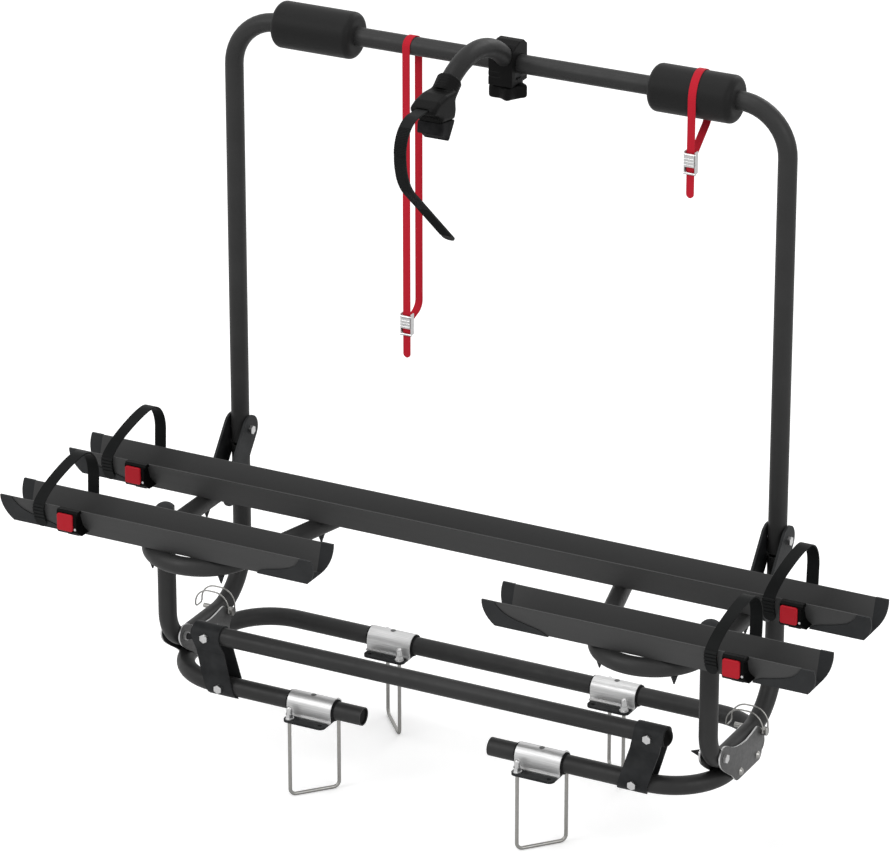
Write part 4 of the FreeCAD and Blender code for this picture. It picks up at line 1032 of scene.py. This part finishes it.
@dataclass
class PivotPlates:
    """Pair of steel plates beside a hoop tube, with a smooth outline and a painted highlight on the cut edges.

    Attributes:
        side: -1 for the left pair and 1 for the right one.
        inner_face: Distance of each plate's inner face from the tube's middle.
        sheet: Thickness of a plate.
        rounding: How far each corner is rounded back.
        edge: Width of the rounded rim.
        notch_centre: Place of the lock pin along Y and Z.
        notch_radius: Radius of the notch that the pin lies in.
        low_saddle: Height that the upper edge of the plate on the tube's left stays under.
        low_lobe: Y at which that edge starts to rise over the pivot, one for one.
    """

    side: int
    inner_face: float = 0.0153
    sheet: float = 0.003
    rounding: float = 0.005
    edge: float = 0.0005
    notch_centre: tuple[float, float] = (0.046, 0.0562)
    notch_radius: float = 0.0044
    low_saddle: float = 0.058
    low_lobe: float = -0.085

    def outline(self, low: bool) -> list[tuple[float, float]]:
        """Corners of a plate along Y and Z, from the notch over the saddle and the pivot to the heel.

        Args:
            low: Whether the upper edge stays low.

        Returns:
            Places in metres.
        """
        upper = ((31, 71), (24, 71.5), (5, 67.9), (-14, 65.8), (-33, 67.6), (-48, 70.3), (-59, 73.5),
                 (-70, 78.3), (-83, 85.5), (-92, 89.8), (-101, 91.5), (-108, 88.5), (-113, 82), (-115, 74))
        lower = ((-113, 66), (-107, 57), (-97, 48.5), (-87, 41), (-75, 33), (-64, 25), (-51, 12),
                 (-44, 9.5), (38, 9.5), (44, 15), (46.5, 26), (50, 36), (57, 47))
        places = [(y / 1000, z / 1000) for y, z in upper + lower]
        if low:
            return [(y, min(z, self.low_saddle + max(0.0, self.low_lobe - y))) for y, z in places]
        return places

    def notch(self) -> list[tuple[float, float]]:
        """Places round the notch, from the rear corner to the upper one."""
        centre_y, centre_z = self.notch_centre
        turns = [math.radians(turn) for turn in range(-40, -221, -30)]
        return [(centre_y + self.notch_radius * math.cos(turn), centre_z + self.notch_radius * math.sin(turn))
                for turn in turns]

    def add_plate(self, mesh: BMesh, face_side: int) -> None:
        """Add one plate: its outline with rounded corners, raised to the sheet's thickness.

        Args:
            mesh: Mesh to add to.
            face_side: -1 for the plate on the tube's left and 1 for the one on its right.
        """
        inner = self.side * HOOP_X + face_side * self.inner_face
        rounded = [mesh.verts.new((inner, y, z)) for y, z in self.outline(face_side < 0)]
        crisp = [mesh.verts.new((inner, y, z)) for y, z in self.notch()]
        mesh.faces.new(rounded + crisp)
        bmesh.ops.bevel(mesh, geom=rounded, offset=self.rounding, segments=3, profile=0.5,
                        affect="VERTICES", material=-1, clamp_overlap=True)
        faces = [face for face in mesh.faces if abs(face.calc_center_median().x - inner) < MERGE]
        raised = bmesh.ops.extrude_face_region(mesh, geom=faces, use_keep_orig=True)
        verts = [item for item in raised["geom"] if isinstance(item, BMVert)]
        bmesh.ops.translate(mesh, verts=verts, vec=(face_side * self.sheet, 0, 0))

    def build(self, palette: Palette) -> Piece:
        """Build one pair of plates.

        Args:
            palette: Materials of the rack.

        Returns:
            The pair as one piece.
        """
        name = "left" if self.side < 0 else "right"
        mesh = bmesh.new()
        for face_side in (-1, 1):
            self.add_plate(mesh, face_side)
        bmesh.ops.remove_doubles(mesh, verts=mesh.verts[:], dist=WELD)
        bmesh.ops.recalc_face_normals(mesh, faces=mesh.faces[:])
        rims = [edge for edge in sharp_edges(mesh)
                if abs(edge.verts[0].co.x - edge.verts[1].co.x) < MERGE]
        round_edges(mesh, rims, self.edge, segments=2)
        # The faces of the sheet, which look along X, are plated. The cut rim gets the bright fastener metal as
        # a painted highlight, where the edge catches the light.
        for face in mesh.faces:
            face.material_index = 0 if abs(face.normal.x) > 0.9 else 1
        piece = finish_object(mesh, f"pivot_plates_{name}_cut", palette.zinc, smooth=35.0)
        piece.data.materials.append(palette.bright)
        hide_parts(f"pivot_plates_{name}")
        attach(piece, "drawbar_base")
        return piece


@dataclass
class ClampSleeves:
    """Rubber sleeves between the base tube and the clamp shells, with a thin lip at each end.

    Attributes:
        spread_x: Distance of each clamp from the rack's middle along X.
        spread_y: Distance of each clamp from the rack's middle along Y.
        shell_length: Length of a shell.
        thickness: Wall of a sleeve.
        lip_length: How far a lip stands out of the shell.
        lip_height: Height of a lip above the sleeve.
        chamfer: Slant of a lip's outer edge.
        clear: Gap between shell and lip.
        steps: Faces round a sleeve.
    """

    spread_x: float = 0.203
    spread_y: float = 0.135
    shell_length: float = 0.079
    thickness: float = 0.0015
    lip_length: float = 0.003
    lip_height: float = 0.0012
    chamfer: float = 0.0008
    clear: float = 0.0002
    steps: int = 64

    def outline(self) -> list[tuple[float, float]]:
        """Half section of a sleeve as places along the tube and distances from its axis."""
        start = self.shell_length / 2 + self.clear
        end = self.shell_length / 2 + self.lip_length
        wall = TUBE_RADIUS + self.thickness
        lip = wall + self.lip_height
        right = [(start, wall), (start, lip), (end - self.chamfer, lip), (end, lip - self.chamfer),
                 (end, TUBE_RADIUS)]
        return [(-x, r) for x, r in reversed(right)] + right

    def build(self, palette: Palette) -> Piece:
        """Build the four sleeves.

        Args:
            palette: Materials of the rack.

        Returns:
            The sleeves as one piece.
        """
        low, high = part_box("clamp_liners")
        axis_z = (low[2] + high[2]) / 2
        mesh = bmesh.new()
        for side_x in (-1, 1):
            for side_y in (-1, 1):
                middle = Vector((side_x * self.spread_x, side_y * self.spread_y, axis_z))
                section = [middle + Vector((x, 0, r)) for x, r in self.outline()]
                turned(mesh, section, middle, self.steps)
        bmesh.ops.remove_doubles(mesh, verts=mesh.verts[:], dist=MERGE)
        bmesh.ops.recalc_face_normals(mesh, faces=mesh.faces[:])
        piece = finish_object(mesh, "clamp_sleeves", palette.rubber, smooth=35.0)
        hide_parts("clamp_liners")
        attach(piece, "drawbar_base")
        return piece


@dataclass
class RatchetPins:
    """Bright steel pins on which the pawls of the strap buckles turn.

    Attributes:
        beside: How far a pin lies past the button's side.
        above: Height of a pin above the button's lower edge.
        radius: Radius of a pin.
        proud: How far its head stands out of the housing.
        depth: How far it reaches into the housing.
        button_proud: How far a button stands out of the housing.
        dome: Rounding of the head.
    """

    beside: float = 0.0034
    above: float = 0.0045
    radius: float = 0.0021
    proud: float = 0.0009
    depth: float = 0.003
    button_proud: float = 0.003
    dome: float = 0.0006

    def build(self, palette: Palette) -> Piece:
        """Set one domed pin into the front of each buckle.

        Args:
            palette: Materials of the rack.

        Returns:
            The four pins as one piece.
        """
        mesh = bmesh.new()
        length = self.proud + self.depth
        for name in ("rear_left", "rear_right", "front_left", "front_right"):
            low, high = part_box("release_button_" + name)
            middle_y = low[1] + self.button_proud - self.proud + length / 2
            middle = Vector((high[0] + self.beside, middle_y, low[2] + self.above))
            place = Matrix.Translation(middle) @ Matrix.Rotation(math.pi / 2, 4, "X")
            add_rod(mesh, self.radius, length, segments=24, place=place)
        round_edges(mesh, sharp_edges(mesh), self.dome, segments=3)
        bmesh.ops.recalc_face_normals(mesh, faces=mesh.faces[:])
        piece = finish_object(mesh, "ratchet_pins", palette.bright, smooth=35.0)
        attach(piece, "rail_carrier")
        return piece


@dataclass
class RoundedMoulding:
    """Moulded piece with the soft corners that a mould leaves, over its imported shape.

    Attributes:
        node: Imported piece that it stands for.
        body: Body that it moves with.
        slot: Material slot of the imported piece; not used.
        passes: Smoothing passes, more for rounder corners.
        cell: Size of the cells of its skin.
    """

    node: str
    body: str
    slot: str
    passes: int
    cell: float = 0.0011

    def build(self, material: Material) -> Piece:
        """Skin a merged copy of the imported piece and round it.

        Args:
            material: Material of the piece.

        Returns:
            The rounded piece.
        """
        mesh = bmesh.new()
        mesh.from_mesh(frame["nodes"][self.node].data)
        bmesh.ops.remove_doubles(mesh, verts=mesh.verts[:], dist=WELD)
        piece = finish_object(mesh, self.node + "_moulding", material, smooth=60.0)
        skin = piece.modifiers.new("skin", "REMESH")
        skin.mode = "VOXEL"
        skin.voxel_size = self.cell
        skin.use_smooth_shade = True
        rounding = piece.modifiers.new("rounding", "SMOOTH")
        rounding.factor = 0.5
        rounding.iterations = self.passes
        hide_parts(self.node)
        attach(piece, self.body)
        return piece


@dataclass
class StarKnob:
    """Star knob that tightens the arm's clamp on the top tube.

    Attributes:
        x: X of its axis.
        lobes: Number of lobes.
        lobe_steps: Faces round each lobe.
        radius: Distance from the axis to a lobe's tip.
        wave: How far the hollows lie inside the tips.
        height: Height of the knob.
        fullness: Power of the wave, under one for lobes that are narrower than the hollows.
        edge: Rounding of its rims.
        screw_radius: Radius of its screw.
        collar_radius: Radius of the collar that bears on the clamp.
        collar_height: Height of the collar.
        turn: Direction of the first lobe about the axis.
    """

    x: float = 0.0075
    lobes: int = 5
    lobe_steps: int = 24
    radius: float = 0.031
    wave: float = 0.0085
    height: float = 0.022
    fullness: float = 0.8
    edge: float = 0.005
    screw_radius: float = 0.004
    collar_radius: float = 0.008
    collar_height: float = 0.0017
    turn: float = math.radians(-68)

    def star(self, mesh: BMesh, base: float) -> None:
        """Raise the lobed body from a waved disc and round its rims.

        Args:
            mesh: Mesh to add to.
            base: Z of the underside.
        """
        segments = self.lobes * self.lobe_steps
        disc = bmesh.ops.create_circle(mesh, cap_ends=True, segments=segments, radius=1.0)
        for vert in disc["verts"]:
            turn = math.atan2(vert.co.y, vert.co.x) - self.turn
            hollow = (0.5 - 0.5 * math.cos(self.lobes * turn)) ** self.fullness
            reach = self.radius - self.wave * hollow
            vert.co = Vector((self.x + vert.co.x * reach, HOOP_Y + vert.co.y * reach, base))
        face = disc["verts"][0].link_faces[0]
        under = bmesh.ops.extrude_face_region(mesh, geom=[face], use_keep_orig=True)
        top = next(item for item in under["geom"] if isinstance(item, BMFace))
        bmesh.ops.translate(mesh, verts=top.verts[:], vec=(0, 0, self.height))
        round_edges(mesh, [edge for cap in (face, top) for edge in cap.edges], self.edge, segments=4)

    def build(self, palette: Palette) -> Piece:
        """Build the knob with its collar and screw.

        Args:
            palette: Materials of the rack.

        Returns:
            The knob.
        """
        low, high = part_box("clamp_knob")
        mesh = bmesh.new()
        self.star(mesh, low[2])
        start = low[2] + self.height
        for radius, end in ((self.collar_radius, start + self.collar_height), (self.screw_radius, high[2])):
            place = Matrix.Translation((self.x, HOOP_Y, (start + end) / 2))
            add_rod(mesh, radius, end - start, segments=32, place=place)
        bmesh.ops.recalc_face_normals(mesh, faces=mesh.faces[:])
        piece = finish_object(mesh, "star_knob", palette.knob, smooth=35.0)
        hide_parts("clamp_knob")
        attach(piece, "clamp_knob")
        return piece


class MetalAndPlastic:
    """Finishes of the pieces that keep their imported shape."""

    def __init__(self, palette: Palette) -> None:
        """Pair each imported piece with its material.

        Args:
            palette: Materials of the rack.
        """
        self.default = {
            "anodised_tube": palette.tube, "rail_metal": palette.rail, "bare_aluminium": palette.shell,
            "zinc_steel": palette.zinc, "bright_steel": palette.bright, "black_steel": palette.powder,
            "black_plastic": palette.plastic, "strap_plastic": palette.strap, "red_plastic": palette.red,
            "black_rubber": palette.rubber, "foam": palette.foam, "red_webbing": palette.webbing,
        }
        self.special = {
            "u_bolts_front": palette.wire, "u_bolts_rear": palette.wire,
            "pin_bail_left": palette.wire, "pin_bail_right": palette.wire, "lock_pins": palette.wire,
            "plate_rivets": palette.wire, "clamp_screws": palette.zinc, "arm_tube": palette.arm,
            "strap_buckles": palette.buckle, "base_tube_plugs": palette.buckle, "bridge_caps": palette.buckle,
        }

    def dress(self) -> int:
        """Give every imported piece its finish.

        Returns:
            How many pieces were dressed.
        """
        slots = {part["node"]: part["material_slot"] for part in frame["record"]["subparts"]}
        for name, piece in frame["nodes"].items():
            material = self.special.get(name) or self.default[slots[name]]
            piece.data.materials.clear()
            piece.data.materials.append(material)
        return len(frame["nodes"])


@dataclass(frozen=True)
class Lamp:
    """Square lamp that shines on the rack.

    Attributes:
        name: Where it stands.
        place: Its middle.
        size: Length of its sides.
        power: Its power in watts.
    """

    name: str
    place: tuple[float, float, float]
    size: float
    power: float


@dataclass
class Studio:
    """Camera at the photograph's place, plain lamps, a pale floor and a white surround.

    Attributes:
        azimuth: Camera azimuth in degrees.
        elevation: Camera elevation in degrees.
        distance: Distance from the target.
        target: Point in the middle of the picture.
        focal_pixels: Focal length in pixels of the photograph.
        far: Farthest thing that the camera sees.
        lamps: Broad soft lamps from above, the front left, the right and behind.
        lit_height: Height that the lamps point at.
        fill: Strength of the surround as a light.
        floor_half: Half the side of the floor.
        floor_glow: How much paler than its light the camera sees the floor.
    """

    azimuth: float = 27.447
    elevation: float = 23.005
    distance: float = 8.12277
    target: tuple[float, float, float] = (-0.10267, 0.125, 0.42287)
    focal_pixels: float = 5088.3
    far: float = 60.0
    lamps: tuple[Lamp, ...] = (
        Lamp("top", (-0.6, -0.4, 4.6), size=3.2, power=60.0),
        Lamp("left", (-3.2, -4.3, 4.4), size=2.6, power=110.0),
        Lamp("right", (4.2, -1.6, 2.8), size=2.0, power=44.0),
        Lamp("back", (0.8, 5.2, 3.2), size=2.6, power=60.0))
    lit_height: float = 0.45
    fill: float = 0.60
    floor_half: float = 14.0
    floor_glow: float = 0.35

    def build_camera(self) -> None:
        """Place the camera and make it the scene's."""
        turn = math.radians(self.azimuth)
        rise = math.radians(self.elevation)
        back = Vector((math.sin(turn) * math.cos(rise), -math.cos(turn) * math.cos(rise), math.sin(rise)))
        data = bpy.data.cameras.new("camera")
        data.sensor_width = 36.0
        data.lens = self.focal_pixels * data.sensor_width / IMAGE_WIDTH
        data.clip_end = self.far
        camera = bpy.data.objects.new("camera", data)
        camera.location = Vector(self.target) + back * self.distance
        camera.rotation_euler = back.to_track_quat("Z", "Y").to_euler()
        bpy.context.scene.collection.objects.link(camera)
        bpy.context.scene.camera = camera

    def build_lamps(self) -> None:
        """Add the lamps, each turned towards the rack."""
        for lamp in self.lamps:
            data = bpy.data.lights.new(lamp.name, "AREA")
            data.shape = "SQUARE"
            data.size = lamp.size
            data.energy = lamp.power
            light = bpy.data.objects.new(lamp.name, data)
            light.location = lamp.place
            aim = Vector(lamp.place) - Vector((0, 0, self.lit_height))
            light.rotation_euler = aim.to_track_quat("Z", "Y").to_euler()
            bpy.context.scene.collection.objects.link(light)

    def build_world(self) -> None:
        """Make the surround white to the camera and in reflections, and softer as a light."""
        world = bpy.data.worlds.new("surround")
        world.use_nodes = True
        tree = world.node_tree
        tree.nodes.clear()
        rays = add_node(tree, "ShaderNodeLightPath").outputs
        seen = rays["Is Camera Ray"]
        for kind in ("Is Transmission Ray", "Is Glossy Ray"):
            either = add_node(tree, "ShaderNodeMath", {"operation": "MAXIMUM"}, {0: seen, 1: rays[kind]})
            seen = either.outputs[0]
        settings = {"To Min": self.fill, "To Max": 1.0}
        strength = add_node(tree, "ShaderNodeMapRange", settings, {"Value": seen}).outputs[0]
        light = add_node(tree, "ShaderNodeBackground", {"Color": linear("#ffffff")}, {"Strength": strength})
        add_node(tree, "ShaderNodeOutputWorld", links={"Surface": light.outputs[0]})
        bpy.context.scene.world = world
        bpy.context.scene.view_settings.view_transform = "Standard"

    def build_floor(self) -> None:
        """Lay a pale floor under the U-bolts."""
        mesh = bmesh.new()
        bmesh.ops.create_grid(mesh, x_segments=8, y_segments=8, size=self.floor_half)
        bmesh.ops.translate(mesh, verts=mesh.verts[:], vec=(0, 0, CAD_BOX[0][2]))
        material = bpy.data.materials.new("pale_floor")
        material.use_nodes = True
        tree = material.node_tree
        tree.nodes.clear()
        seen = add_node(tree, "ShaderNodeLightPath").outputs["Is Camera Ray"]
        matt = add_node(tree, "ShaderNodeBsdfDiffuse", {"Color": linear("#f4f4f4")}).outputs[0]
        settings = {"Color": linear("#ffffff"), "Strength": self.floor_glow}
        glow = add_node(tree, "ShaderNodeEmission", settings).outputs[0]
        both = add_node(tree, "ShaderNodeAddShader", links={0: matt, 1: glow}).outputs[0]
        mix = add_node(tree, "ShaderNodeMixShader", links={0: seen, 1: matt, 2: both})
        add_node(tree, "ShaderNodeOutputMaterial", links={"Surface": mix.outputs[0]})
        finish_object(mesh, "studio_floor", material)

    def build(self) -> None:
        """Set up the whole studio."""
        self.build_camera()
        self.build_lamps()
        self.build_world()
        self.build_floor()


def main() -> None:
    """Build the studio, the finishes and every piece in order, and report each piece."""
    logging.basicConfig(level=logging.INFO)
    Studio().build()
    palette = Palette()
    LOG.info("dressed %d packed pieces", MetalAndPlastic(palette).dress())
    for moulding, material in (
            (RoundedMoulding("arm_head", "bike_arm", "black_plastic", passes=16), palette.knob),
            (RoundedMoulding("arm_clamp_body", "bike_arm", "black_plastic", passes=4), palette.knob),
            (RoundedMoulding("arm_cradle", "bike_arm", "black_rubber", passes=14), palette.rubber)):
        LOG.info("built %s", moulding.build(material).name)
    parts = (StarKnob(), RatchetPins(), ClampSleeves(), PivotPlates(-1), PivotPlates(1), FoamSleeves(),
             WheelStraps(), RatchetStrap(),
             WebbingLoop("red_strap_long", x=-0.1626, skew=0.0053, core=TUBE_RADIUS, drop=0.461,
                         tail=0.057, knee=0.016),
             WebbingLoop("red_strap_short", x=0.3358, skew=-0.0068, core=FoamSleeves.radius, drop=0.098,
                         tail=0.057, knee=0.042))
    for part in parts:
        built = part.build(palette)
        for piece in built if isinstance(built, list) else [built]:
            LOG.info("built %s", piece.name)


if __name__ == "__main__":
    main()
